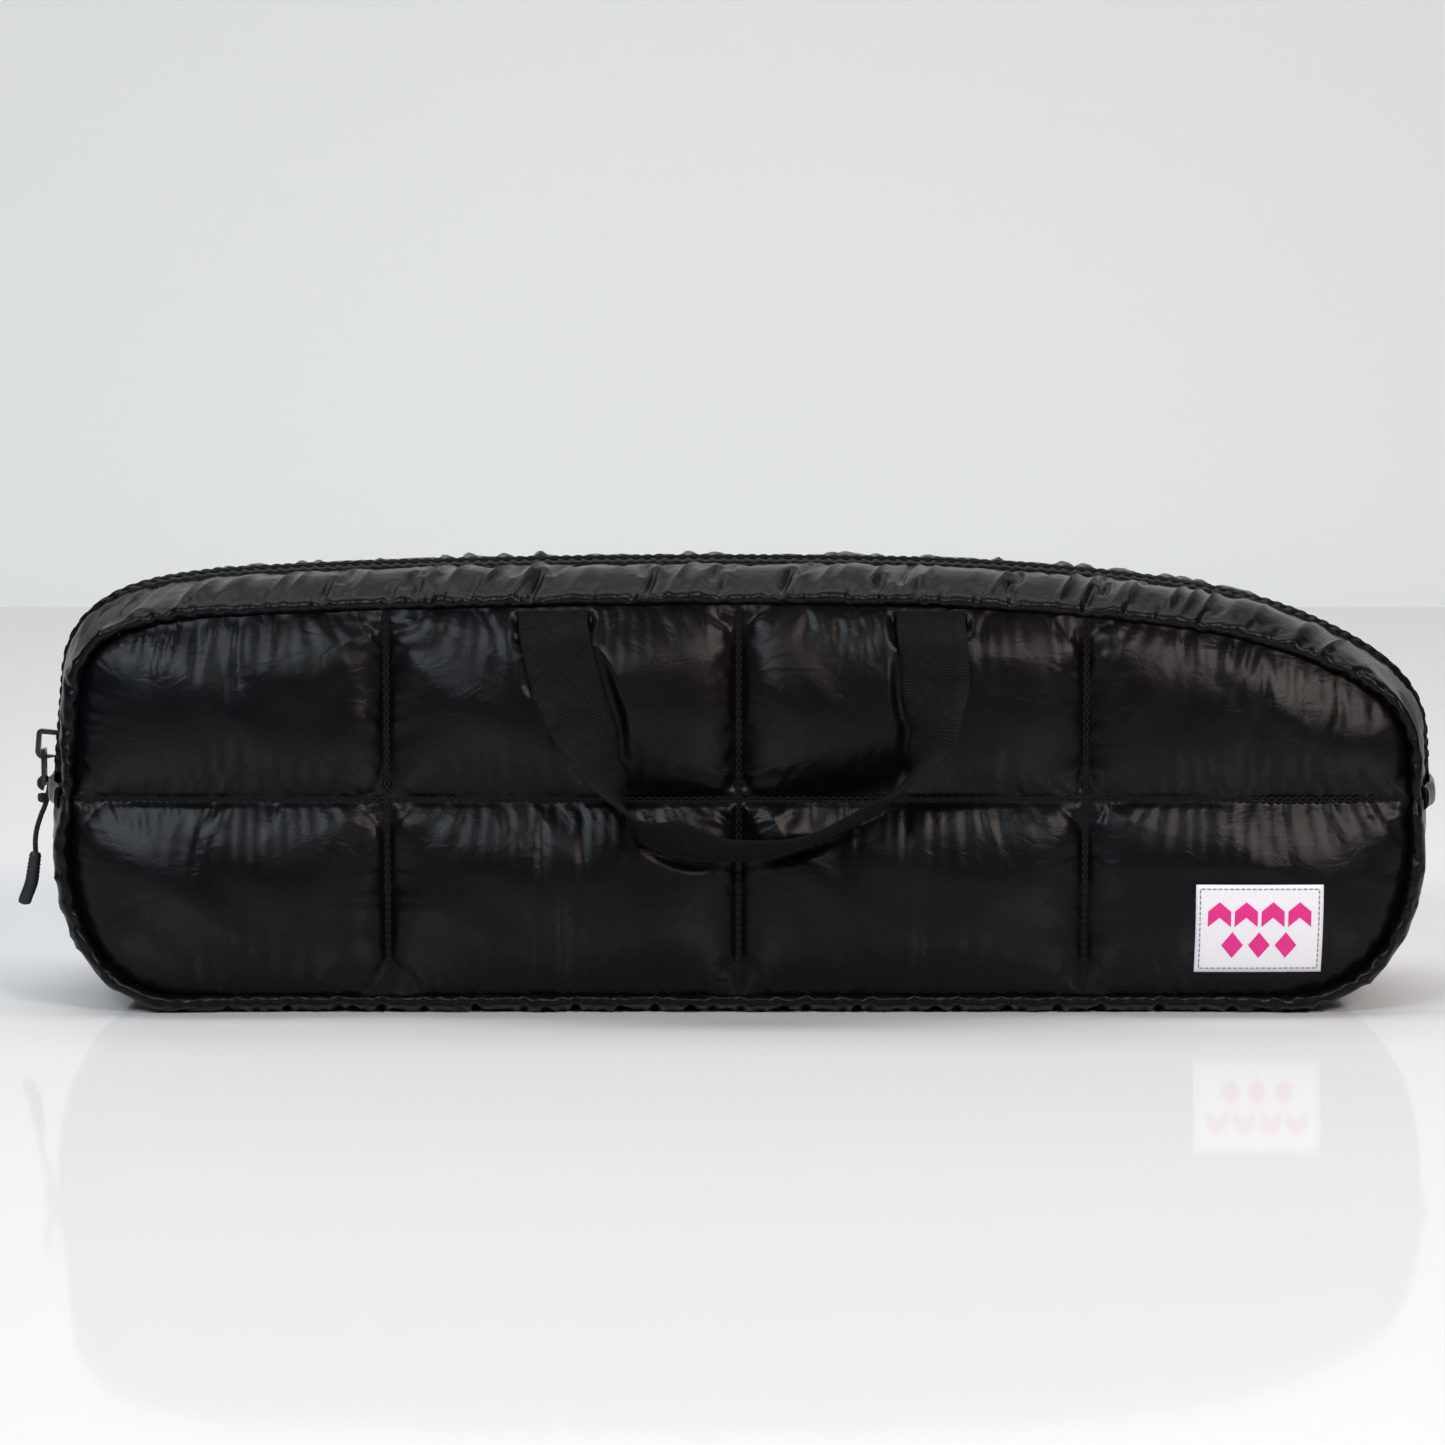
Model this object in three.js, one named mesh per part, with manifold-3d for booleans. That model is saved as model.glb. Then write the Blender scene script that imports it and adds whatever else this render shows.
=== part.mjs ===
// Quilted carry bag. Its zip runs from mid-height on one end, over the top, to mid-height on the other.
// Two quilted panels stand on edge, joined by a gusset. The zip splits the upper half of the gusset, and the
// two straight strips beside it fold outwards to open the mouth. Each side has a webbing handle.
// Millimetres, +X along the bag, front towards -Y, +Z up, origin on the floor under the middle of the base.
import * as THREE from "three";
import { mergeVertices } from "three/addons/utils/BufferGeometryUtils.js";
import Module from "manifold-3d";

const wasm = await Module();
wasm.setup();

// ---- driving dimensions ----
const BASE_Z = 7; // height of the panel seam above the floor along the base
const ZIP_END_Z = 81; // height at which the zip starts and ends
const MOUTH_X = [-176, 122]; // the stretch of the top where the gusset strips fold outwards
const CROWN = { base: 7, end: 12.5, top: 13.5 }; // how far the gusset stands out from the panel seam
const PANEL = { shell: [51.8, 49.4], wadding: [49.1, 43.1], lining: [42.7, 41.9] }; // |y|, outer then inner
const PANEL_INSET = 0.4; // the panels stop this far inside the seam line
const BINDING = { y: [41.5, 39.7], out: [-0.9, -8] }; // tape over the raw seam, inside the bag
const QUILT_X = [-130.6, 0, 128.8]; // upright quilting lines
const QUILT_Z = 81; // level quilting line
const GROOVE = { width: 2.4, depth: 1.4 };
const WEBBING = { width: 25.4, thick: 1.6 };
const HANDLE_X = [-68.5, 71]; // middle of each sewn end
const SEWN_END = { y: [52.1, 53.8], z: [146.3, 152.4] };
const LABEL = { x: [169.5, 216.8], y: [52.1, 52.9], z: [16.6, 50.3] };
const SLIDER = { z: 94.3, half: 6.5, halfWidth: 4.9 };
const BAIL = { t: -2.9, out: 18.2, inner: 1.4, outer: 3.1, upper: 3.6, halfWidth: 1.1 };
const TAB = { half: [0.75, 2.6], slot: [-0.75, -6.6], eye: [-9.2, -11.9], foot: -13.1, slotHalf: 1.5 };
const CORD = { r: 1, ring: 2, eyeZ: -12.5, lean: 0.145, length: 27 };
const GRIP = { length: 21, half: [2.4, 3.4] };

// ---- materials ----
const material = (color, roughness, metalness = 0) =>
  new THREE.MeshStandardMaterial({ color, roughness, metalness });
const shellCloth = material(0x14171a, 0.35);
const liningCloth = material(0x1b1b1d, 0.7);
const fibre = material(0xe8e6e0, 0.95);
const webbing = material(0x0c0c0c, 0.85);
const tapeCloth = material(0x0f0f10, 0.8);
const zipPlastic = material(0x101010, 0.4);
const castMetal = material(0x16161a, 0.3, 0.6);
const cordCloth = material(0x0b0b0b, 0.85);
const gripRubber = material(0x0a0a0a, 0.6);
const labelCloth = material(0xeeebf0, 0.8);

const bag = new THREE.Group();
function add(name, geometry, mat) {
  const mesh = new THREE.Mesh(geometry, mat);
  mesh.name = name;
  bag.add(mesh);
}

// ---- the seam outline in the XZ plane, walked clockwise as seen from the front ----
const V = (x, z) => new THREE.Vector2(x, z);
const LEG = [V(-247.5, ZIP_END_Z), V(-243.5, 124)]; // straight run of the zip on the left end
const cubic = (a, b, c, d) => new THREE.CubicBezierCurve(a, b, c, d);
const straight = (a, b) => new THREE.LineCurve(a, b);
const zipLine = new THREE.CurvePath();
zipLine.add(straight(...LEG));
zipLine.add(cubic(LEG[1], V(-241.8, 142), V(-226, 146), V(-196, 148.5)));
zipLine.add(cubic(V(-196, 148.5), V(-130, 152.8), V(-20, 154.5), V(60, 152.8)));
zipLine.add(cubic(V(60, 152.8), V(95, 152), V(125, 149.5), V(150, 146.5)));
zipLine.add(cubic(V(150, 146.5), V(178, 143), V(198, 138.5), V(215, 131)));
zipLine.add(cubic(V(215, 131), V(236, 122), V(247, 114), V(248.5, 101)));
zipLine.add(straight(V(248.5, 101), V(250, ZIP_END_Z)));
const baseLine = new THREE.CurvePath();
baseLine.add(straight(V(250, ZIP_END_Z), V(249.5, 62)));
baseLine.add(cubic(V(249.5, 62), V(248, 26), V(232, BASE_Z), V(200, BASE_Z)));
baseLine.add(straight(V(200, BASE_Z), V(-206, BASE_Z)));
baseLine.add(cubic(V(-206, BASE_Z), V(-234, BASE_Z), V(-247.5, 28), V(-249, 62)));
baseLine.add(straight(V(-249, 62), LEG[0]));
const ZIP_LENGTH = zipLine.getLength();
const BASE_LENGTH = baseLine.getLength();
const BASE_ENDS = [0, ...baseLine.getCurveLengths()]; // where each piece of the base line starts and ends
const LEVEL = [BASE_ENDS[2], BASE_ENDS[3]]; // its level stretch, which rests on the floor
const CUT = 0.15; // half the gap left where one length of gusset follows another

const smooth = (t) => THREE.MathUtils.smoothstep(t, 0, 1);
function zipStation(s) {
  const u = s / ZIP_LENGTH;
  const rise = smooth((u - 0.08) / 0.12) * smooth((1 - u) / 0.2);
  return station(zipLine, u, CROWN.end + (CROWN.top - CROWN.end) * rise);
}
function baseStation(s) {
  const level = smooth(s / LEVEL[0]) * smooth((BASE_LENGTH - s) / (BASE_LENGTH - LEVEL[1]));
  return station(baseLine, s / BASE_LENGTH, CROWN.end + (CROWN.base - CROWN.end) * level);
}
function station(line, u, crown) {
  const t = line.getTangent(u);
  return { p: line.getPoint(u), n: V(-t.y, t.x), crown };
}
const run = (make, from, to, count) =>
  Array.from({ length: count + 1 }, (_, i) => make(from + ((to - from) * i) / count));
const zipRun = (from, to, count) => run(zipStation, from, to, count);
// A stretch of the base line, with many stations only where it bends.
function baseRun(from, to) {
  const stops = [from, ...BASE_ENDS.filter((s) => s > from && s < to), to];
  return stops.slice(1).flatMap((stop, i) => {
    const bends = stop - stops[i] < 90 && stop - stops[i] > 30;
    return run(baseStation, stops[i], stop, bends ? 10 : 1).slice(i === 0 ? 0 : 1);
  });
}
const wholeBase = () => baseRun(CUT, BASE_LENGTH - CUT);

// How far along the zip its top run reaches a given x.
function alongZip(x) {
  let [low, high] = [0, 1];
  for (let i = 0; i < 40; i++) {
    const middle = (low + high) / 2;
    if (zipLine.getPoint(middle).x < x) low = middle;
    else high = middle;
  }
  return low * ZIP_LENGTH;
}
const MOUTH = MOUTH_X.map(alongZip);
const LENGTHS = [
  ["left", CUT, MOUTH[0] - CUT, 16],
  ["mid", MOUTH[0] + CUT, MOUTH[1] - CUT, 9],
  ["right", MOUTH[1] + CUT, ZIP_LENGTH - CUT, 18],
];

// ---- solids made from rings of points ----
// Joins equal rings one after another and closes both ends; a convex end is closed from its centre.
function loft(rings, convexEnds = false) {
  const size = rings[0].length;
  const points = rings.flat();
  const index = [];
  for (let r = 0; r + 1 < rings.length; r++)
    for (let k = 0; k < size; k++) {
      const a = r * size + k;
      const b = r * size + ((k + 1) % size);
      index.push(a, b, b + size, a, b + size, a + size);
    }
  const last = (rings.length - 1) * size;
  if (convexEnds) {
    const middle = points.length;
    points.push(centreOf(rings[0]), centreOf(rings.at(-1)));
    for (let k = 0; k < size; k++) {
      const next = (k + 1) % size;
      index.push(middle, next, k, middle + 1, last + k, last + next);
    }
  } else
    for (const [a, b, c] of THREE.ShapeUtils.triangulateShape(flatten(rings[0]), []))
      index.push(a, c, b, last + a, last + b, last + c);
  const geometry = new THREE.BufferGeometry().setFromPoints(points);
  geometry.setIndex(index);
  return facingOut(geometry);
}
const centreOf = (ring) => ring.reduce((sum, v) => sum.add(v), new THREE.Vector3()).divideScalar(ring.length);
// A ring's points in its own plane, turning anticlockwise.
function flatten(ring) {
  const normal = new THREE.Vector3();
  ring.forEach((v, i) => normal.add(v.clone().cross(ring[(i + 1) % ring.length])));
  normal.normalize();
  const helper = Math.abs(normal.y) > 0.7 ? new THREE.Vector3(1, 0, 0) : new THREE.Vector3(0, 1, 0);
  const e1 = helper.cross(normal).normalize();
  const e2 = normal.clone().cross(e1);
  return ring.map((v) => V(v.dot(e1), v.dot(e2)));
}
function facingOut(geometry) {
  const position = geometry.getAttribute("position");
  const index = geometry.getIndex().array;
  const corner = (i) => new THREE.Vector3().fromBufferAttribute(position, index[i]);
  let volume = 0;
  for (let i = 0; i < index.length; i += 3) volume += corner(i).dot(corner(i + 1).cross(corner(i + 2)));
  if (volume < 0)
    for (let i = 0; i < index.length; i += 3) [index[i], index[i + 1]] = [index[i + 1], index[i]];
  return geometry;
}
// A section is a closed list of [y, a, b]: each point stands a + b * crown out from the seam line.
function sweep(section, line) {
  const place = ({ p, n }, y, out) => new THREE.Vector3(p.x + n.x * out, y, p.y + n.y * out);
  return loft(line.map((at) => section.map(([y, a, b]) => place(at, y, a + b * at.crown))));
}
const lowered = (points, by) => points.map(([y, a, b]) => [y, a - by, b]);
const band = (outer, thick) => [...outer, ...lowered(outer, thick).reverse()];
const onSide = (section, side) => section.map(([y, a, b]) => [-side * y, a, b]);
const bothSides = (half) => [...half, ...onSide(half, 1).reverse().filter(([y]) => y !== 0)];

// ---- booleans ----
function toSolid(geometry) {
  const bare = geometry.clone();
  bare.deleteAttribute("normal");
  bare.deleteAttribute("uv");
  const merged = mergeVertices(bare, 1e-3);
  const vertProperties = new Float32Array(merged.getAttribute("position").array);
  const triVerts = new Uint32Array(merged.getIndex().array);
  return new wasm.Manifold(new wasm.Mesh({ numProp: 3, vertProperties, triVerts }));
}
function toGeometry(solid) {
  const mesh = solid.getMesh();
  const geometry = new THREE.BufferGeometry();
  geometry.setAttribute("position", new THREE.Float32BufferAttribute(mesh.vertProperties, 3));
  geometry.setIndex(new THREE.Uint32BufferAttribute(mesh.triVerts, 1));
  return geometry;
}
const box = ([x0, x1], [y0, y1], [z0, z1]) =>
  new THREE.BoxGeometry(Math.abs(x1 - x0), Math.abs(y1 - y0), Math.abs(z1 - z0)).translate(
    (x0 + x1) / 2,
    (y0 + y1) / 2,
    (z0 + z1) / 2,
  );
const union = (geometries) => toGeometry(geometries.map(toSolid).reduce((a, b) => a.add(b)));
const cut = (geometry, tools) =>
  toGeometry(tools.reduce((solid, tool) => solid.subtract(toSolid(tool)), toSolid(geometry)));

// ---- panels ----
const OUTLINE = [...LENGTHS.flatMap(([, from, to, count]) => zipRun(from, to, count)), ...wholeBase()];
const outlineRing = (y, out) =>
  OUTLINE.map(({ p, n }) => new THREE.Vector3(p.x + n.x * out, y, p.y + n.y * out));
const plate = ([y0, y1], side, out) => loft([outlineRing(side * y0, out), outlineRing(side * y1, out)], true);
function quiltedShell(side) {
  const half = GROOVE.width / 2;
  const depth = [side * (PANEL.shell[0] - GROOVE.depth), side * (PANEL.shell[0] + 1)];
  const upright = QUILT_X.map((x) => box([x - half, x + half], depth, [-10, 200]));
  const level = box([-300, 300], depth, [QUILT_Z - half, QUILT_Z + half]);
  return cut(plate(PANEL.shell, side, -PANEL_INSET), [...upright, level]);
}
function seamBinding(side) {
  const hole = plate([BINDING.y[0] + 1, BINDING.y[1] - 1], side, BINDING.out[1]);
  return cut(plate(BINDING.y, side, BINDING.out[0]), [hole]);
}

// ---- gusset sections, from the rim at the panel seam towards the middle ----
const ROLL = [[-47, 0.4, 0], [-50, 0.4, 0], [-50, 2.6, 0], [-46.5, 4.2, 0]];
const ROLL_END = [[-44.9, 4.5, 0], [-44.9, 1.5, 0]];
const STRIP_OUTER = [[-43.3, 4.95, 0], [-30, 0, 0.78], [-15, 0, 0.95], [-5.5, 0, 1]];
const STRIP_INNER = [[-5.5, -2.2, 1], [-15, -2.4, 0.95], [-30, -2.4, 0.78], [-43.3, 2.5, 0]];
const STRIP_LINING = band([[-41.5, 2.6, 0], [-30, -2.8, 0.78], [-14, -2.8, 0.945]], 0.8);
const ZIP_TAPE = band([[-13.4, -2.8, 0.955], [-5.5, -2.6, 1], [-3.4, -2.6, 1]], 0.7);
const ZIP_COIL = [[-3.1, -1.9, 1], [-0.75, -1.9, 1], [-0.75, -3.9, 1], [-3.1, -3.9, 1]];
const ZIP_STOP = [[-3.1, -1.6, 1], [-0.75, -1.6, 1], [-0.75, -4.2, 1], [-3.1, -4.2, 1]];
const BASE_OUTER = [[-50, 0.4, 0], [-50, 2.8, 0], [-46, 5.2, 0], [-38, 7, 0], [-20, 1.9, 0.725], [0, 0, 1]];
const BASE_INNER = [[-47, 0.4, 0], [-44, 2.6, 0], [-37.5, 4.6, 0], [-20, -0.47, 0.725], [0, -2.4, 1]];
const BASE_WADDING = [[-41.5, 0.9, 0], [-37.5, 0.9, 0], [-20, -4.17, 0.725], [0, -6.1, 1]];
const BASE_WADDING_OUTER = [[-41.5, 2.8, 0], [-37.5, 4, 0], [-20, -1.1, 0.725], [0, -3, 1]];
const END_TAB = [[-44, 6, 0], [-38, 7.4, 0], [-30, 0.4, 0.78], [-15, 0.4, 0.95], [0, 0.4, 1]];
const between = (outer, inner) => [...bothSides(outer), ...bothSides(inner).reverse()];

function gusset(side, prefix) {
  for (const [place, from, to, count] of LENGTHS) {
    const piece = (name, section, mat) =>
      add(`${name}_${place}`, sweep(onSide(section, side), zipRun(from, to, count)), mat);
    if (place === "mid") piece(prefix + "_gusset_rim", [...ROLL, ...ROLL_END], shellCloth);
    const rim = place === "mid" ? [] : ROLL;
    piece(prefix + "_gusset", [...rim, ...STRIP_OUTER, ...STRIP_INNER], shellCloth);
    piece(prefix + "_gusset_lining", STRIP_LINING, liningCloth);
    piece(prefix + "_zip_tape", ZIP_TAPE, tapeCloth);
  }
  const ends = { left: [6.4, 0], mid: [0, 0], right: [0, 8.2] };
  for (const [place, from, to, count] of LENGTHS) {
    const line = zipRun(from + ends[place][0], to - ends[place][1], count);
    add(`${prefix}_zip_coil_${place}`, sweep(onSide(ZIP_COIL, side), line), zipPlastic);
  }
  add(prefix + "_top_stop", sweep(onSide(ZIP_STOP, side), zipRun(4.2, 6.2, 1)), castMetal);
}

// ---- zip slider, drawn as n outwards, t up the zip, then set on the straight left run ----
const legDirection = LEG[1].clone().sub(LEG[0]).normalize();
const legNormal = V(-legDirection.y, legDirection.x);
const legPoint = (z) => LEG[0].clone().lerp(LEG[1], (z - LEG[0].y) / (LEG[1].y - LEG[0].y));
function onLeg(geometry) {
  const basis = new THREE.Matrix4().makeBasis(
    new THREE.Vector3(legNormal.x, 0, legNormal.y),
    new THREE.Vector3(0, -1, 0),
    new THREE.Vector3(legDirection.x, 0, legDirection.y),
  );
  const p = legPoint(SLIDER.z);
  return geometry.applyMatrix4(basis.setPosition(p.x, 0, p.y));
}
const hingeOnBail = legPoint(SLIDER.z)
  .addScaledVector(legNormal, BAIL.out)
  .addScaledVector(legDirection, BAIL.t);
function sliderBody() {
  const c = CROWN.end;
  const whole = [-SLIDER.half, SLIDER.half];
  const wide = [-SLIDER.halfWidth, SLIDER.halfWidth];
  const parts = [box([c - 1.5, c - 0.1], wide, whole), box([c - 5.7, c - 4.3], wide, whole)];
  for (const side of [-1, 1]) {
    const lip = [side * 3.6, side * SLIDER.halfWidth];
    parts.push(box([c - 2.1, c - 1.4], lip, whole), box([c - 4.4, c - 3.7], lip, whole));
  }
  parts.push(box([c - 4.4, c - 1.4], [-0.45, 0.45], [-SLIDER.half, -3]));
  parts.push(bail(c - 0.5));
  return onLeg(union(parts));
}
// An arch over the slider; its lower outer corner turns round the puller's crossbar.
function bail(foot) {
  const { t, out, inner, outer, upper, halfWidth } = BAIL;
  const shape = new THREE.Shape();
  shape.moveTo(foot, t - outer);
  shape.absarc(out, t, outer, -Math.PI / 2, 0, false);
  shape.lineTo(out + outer, upper);
  shape.absarc(out + inner, upper, outer - inner, 0, Math.PI / 2, false);
  shape.lineTo(foot, upper + outer - inner);
  shape.lineTo(foot, upper);
  shape.lineTo(out + inner, upper);
  shape.lineTo(out + inner, t);
  shape.absarc(out, t, inner, 0, -Math.PI / 2, true);
  shape.lineTo(foot, t - inner);
  const thick = { depth: 2 * halfWidth, bevelEnabled: false, curveSegments: 5 };
  const arch = new THREE.ExtrudeGeometry(shape, thick);
  return arch.translate(0, 0, -halfWidth).rotateX(Math.PI / 2);
}
function pullerTab() {
  const [x, y] = TAB.half;
  const through = (range, half) => box([-3, 3], [-half, half], range);
  const blank = box([-x, x], [-y, y], [TAB.foot, -TAB.slot[0]]);
  const tab = cut(blank, [through(TAB.slot, TAB.slotHalf), through(TAB.eye, 1.4)]);
  return tab.translate(hingeOnBail.x, 0, hingeOnBail.y);
}

// ---- cord, knot and grip below the puller ----
const eye = V(hingeOnBail.x, hingeOnBail.y + CORD.eyeZ);
const down = V(-CORD.lean, -1).normalize();
const below = (s) => eye.clone().addScaledVector(down, s);
// A round bar, or a ring of stations [distance below the eye, radius, radius], along the hanging direction.
function hanging(profile) {
  const points = profile.map(([s, r]) => V(r, -s));
  const turned = new THREE.LatheGeometry(points, 14).rotateX(Math.PI / 2);
  return toGeometry(toSolid(turned))
    .applyMatrix4(new THREE.Matrix4().makeRotationY(-Math.atan2(down.x, -down.y)))
    .translate(eye.x, 0, eye.y);
}
function pullCord() {
  const ring = new THREE.TorusGeometry(CORD.ring, CORD.r, 12, 24).rotateX(Math.PI / 2).translate(eye.x, 0, eye.y);
  const from = CORD.ring;
  const stem = hanging([[from, 0], [from, CORD.r], [CORD.length, CORD.r], [CORD.length, 0]].reverse());
  return union([ring, stem]);
}
function cordGrip() {
  const top = CORD.length + 0.3;
  const { length, half } = GRIP;
  const outline = [[0, 0], [0, half[0]], [length * 0.6, half[0]], [length, half[1] * 0.8], [length, 0]];
  return hanging(outline.map(([s, r]) => [top + s, r]).reverse());
}

// ---- handle: webbing that hangs down, turns on edge and sweeps across ----
// Stations of [x, z, turn]: the turn, in degrees, rolls the webbing away from lying flat to the panel.
const HANDLE_PATH = [
  [HANDLE_X[0], 146, 0],
  [-65, 130, 5],
  [-59, 113, 24],
  [-50.5, 94, 56],
  [-41, 79, 95],
  [-24, 69.5, 127],
  [0, 64.5, 116],
  [25, 68.5, 105],
  [47, 78.5, 108],
  [63, 91, 92],
  [71.3, 106, 54],
  [72.6, 127, 14],
  [HANDLE_X[1], 146, 0],
];
const HANDLE_REST_Y = 53.2; // the nearer edge of the webbing lies this far out
const handlePath = new THREE.SplineCurve(HANDLE_PATH.map(([x, z]) => V(x, z)));
function handleTurn(t) {
  const last = HANDLE_PATH.length - 1;
  const k = Math.min(Math.floor(t * last), last - 1);
  const turn = THREE.MathUtils.lerp(HANDLE_PATH[k][2], HANDLE_PATH[k + 1][2], smooth(t * last - k));
  return THREE.MathUtils.degToRad(turn);
}
function handlePoint(t) {
  const { x, y: z } = handlePath.getPoint(t);
  return new THREE.Vector3(x, -HANDLE_REST_Y - (Math.sin(handleTurn(t)) * WEBBING.width) / 2, z);
}
function handleRing(t) {
  const tangent = handlePoint(Math.min(t + 0.01, 1)).sub(handlePoint(Math.max(t - 0.01, 0))).normalize();
  if (t === 0) tangent.set(0, 0, -1);
  if (t === 1) tangent.set(0, 0, 1);
  const flat = new THREE.Vector3(-tangent.z, 0, tangent.x).normalize();
  const face = flat.clone().cross(tangent);
  const across = flat.multiplyScalar(Math.cos(handleTurn(t))).addScaledVector(face, Math.sin(handleTurn(t)));
  const through = across.clone().cross(tangent);
  const corner = (w, h) =>
    handlePoint(t)
      .addScaledVector(across, (w * WEBBING.width) / 2)
      .addScaledVector(through, (h * WEBBING.thick) / 2);
  return [corner(-1, -1), corner(1, -1), corner(1, 1), corner(-1, 1)];
}
function handleLoop(side) {
  const loop = loft(run(handleRing, 0, 1, 52));
  return side > 0 ? facingOut(loop.scale(1, -1, 1)) : loop;
}

// ---- assembly ----
for (const [name, side] of [["front", -1], ["back", 1]]) {
  add(name + "_panel_shell", quiltedShell(side), shellCloth);
  add(name + "_panel_wadding", plate(PANEL.wadding, side, -PANEL_INSET), fibre);
  add(name + "_panel_lining", plate(PANEL.lining, side, -PANEL_INSET), liningCloth);
  add(name + "_seam_binding", seamBinding(side), webbing);
  gusset(side, name);
  add(name + "_handle", handleLoop(side), webbing);
  HANDLE_X.forEach((x, i) => {
    const half = WEBBING.width / 2;
    const end = box([x - half, x + half], SEWN_END.y.map((y) => side * y), SEWN_END.z);
    add(`${name}_handle_end_${["left", "right"][i]}`, end, webbing);
  });
}
for (const [name, from, to] of [
  ["base_gusset_right", CUT, LEVEL[0] - CUT],
  ["base_gusset_mid", LEVEL[0] + CUT, LEVEL[1] - CUT],
  ["base_gusset_left", LEVEL[1] + CUT, BASE_LENGTH - CUT],
])
  add(name, sweep(between(BASE_OUTER, BASE_INNER), baseRun(from, to)), shellCloth);
add("base_gusset_wadding", sweep(between(BASE_WADDING_OUTER, BASE_WADDING), wholeBase()), fibre);
add(
  "base_gusset_lining",
  sweep(between(lowered(BASE_WADDING, 0.5), lowered(BASE_WADDING, 1.3)), wholeBase()),
  liningCloth,
);
const tabSection = between(lowered(END_TAB, -1), END_TAB);
const leftTab = [baseStation(BASE_LENGTH - 4.4), zipStation(0), zipStation(3.6)];
const rightTab = [zipStation(ZIP_LENGTH - 3.6), zipStation(ZIP_LENGTH), baseStation(4.4)];
add("end_tab_left", sweep(tabSection, leftTab), shellCloth);
add("end_tab_right", sweep(tabSection, rightTab), shellCloth);
const bottomStop = [[-3.1, -1.6, 1], [3.1, -1.6, 1], [3.1, -4.2, 1], [-3.1, -4.2, 1]];
add("bottom_stop", sweep(bottomStop, zipRun(ZIP_LENGTH - 8, ZIP_LENGTH - 5, 1)), castMetal);
add("slider_body", sliderBody(), castMetal);
add("puller_tab", pullerTab(), castMetal);
add("pull_cord", pullCord(), cordCloth);
const knot = hanging([[4.2, 0], [4.2, 2.2], [7, 2.2], [7, 0]].reverse());
const knotHole = hanging([[3, 0], [3, 1.3], [8, 1.3], [8, 0]].reverse());
add("cord_knot", cut(knot, [knotHole]), cordCloth);
add("cord_grip", cordGrip(), gripRubber);
add("label", box(LABEL.x, LABEL.y.map((y) => -y), LABEL.z), labelCloth);
export default bag;
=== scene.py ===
# Looks for the quilted carry bag: puffed panels, gathered gusset, coil zip, webbing handles, woven label.
# Lengths in the helpers are millimetres; meshes are written in metres.
import math

import bmesh
import bpy
import numpy as np
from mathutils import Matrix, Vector


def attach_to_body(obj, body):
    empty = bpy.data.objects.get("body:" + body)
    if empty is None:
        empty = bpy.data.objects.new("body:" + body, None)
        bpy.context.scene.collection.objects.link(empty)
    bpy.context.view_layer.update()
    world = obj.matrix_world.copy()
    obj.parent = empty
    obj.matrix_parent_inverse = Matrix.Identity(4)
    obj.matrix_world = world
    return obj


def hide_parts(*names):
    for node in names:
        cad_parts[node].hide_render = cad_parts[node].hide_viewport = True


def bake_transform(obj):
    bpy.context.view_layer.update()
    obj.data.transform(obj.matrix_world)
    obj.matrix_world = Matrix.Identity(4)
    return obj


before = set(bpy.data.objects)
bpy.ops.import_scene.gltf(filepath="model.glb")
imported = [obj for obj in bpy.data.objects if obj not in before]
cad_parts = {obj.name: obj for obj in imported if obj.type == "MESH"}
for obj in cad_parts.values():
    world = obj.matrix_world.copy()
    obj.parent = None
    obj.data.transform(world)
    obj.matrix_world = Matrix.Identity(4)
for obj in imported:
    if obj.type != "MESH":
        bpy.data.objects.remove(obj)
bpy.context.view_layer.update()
MM = 0.001

# ---- driving dimensions, as in the CAD ----
BASE_Z = 7.0
ZIP_END_Z = 81.0
CROWN_BASE, CROWN_END, CROWN_TOP = 7.0, 12.5, 13.5
QUILT_X = (-130.6, 0.0, 128.8)
QUILT_Z = 81.0
BATCH = 2000  # points compared at once
SEAM_Y = 46.5  # the panel seam, sunk behind the rolled edge of the gusset


# ---- lines in the XZ plane ----
def lengths(points):
    """Length along a polyline at each of its points."""
    return np.r_[0, np.cumsum(np.linalg.norm(np.diff(points, axis=0), axis=1))]


def unit(vectors):
    return vectors / np.linalg.norm(vectors, axis=-1, keepdims=True)


def cubic(a, b, c, d, count=60):
    t = np.linspace(0, 1, count)[:, None]
    a, b, c, d = map(np.array, (a, b, c, d))
    return (1 - t) ** 3 * a + 3 * (1 - t) ** 2 * t * b + 3 * (1 - t) * t**2 * c + t**3 * d


def straight(a, b, count=20):
    return np.linspace(np.array(a, float), np.array(b, float), count)


class Line:
    """A polyline walked clockwise as seen from the front, read by length in millimetres."""

    def __init__(self, *parts):
        points = np.concatenate(parts)
        keep = np.r_[True, np.linalg.norm(np.diff(points, axis=0), axis=1) > 1e-6]
        self.points = points[keep]
        self.s = lengths(self.points)
        self.length = self.s[-1]

    def at(self, s):
        s = np.asarray(s, float)
        return np.stack([np.interp(s, self.s, self.points[:, i]) for i in (0, 1)], -1)

    def length_at(self, point):
        return self.s[np.linalg.norm(self.points - np.array(point), axis=1).argmin()]

    def tangent(self, s, reach=2.0):
        ahead = self.at(np.minimum(s + reach, self.length))
        behind = self.at(np.maximum(s - reach, 0))
        return unit(ahead - behind)

    def normal(self, s):
        t = self.tangent(s)
        return np.stack([-t[..., 1], t[..., 0]], -1)


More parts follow.
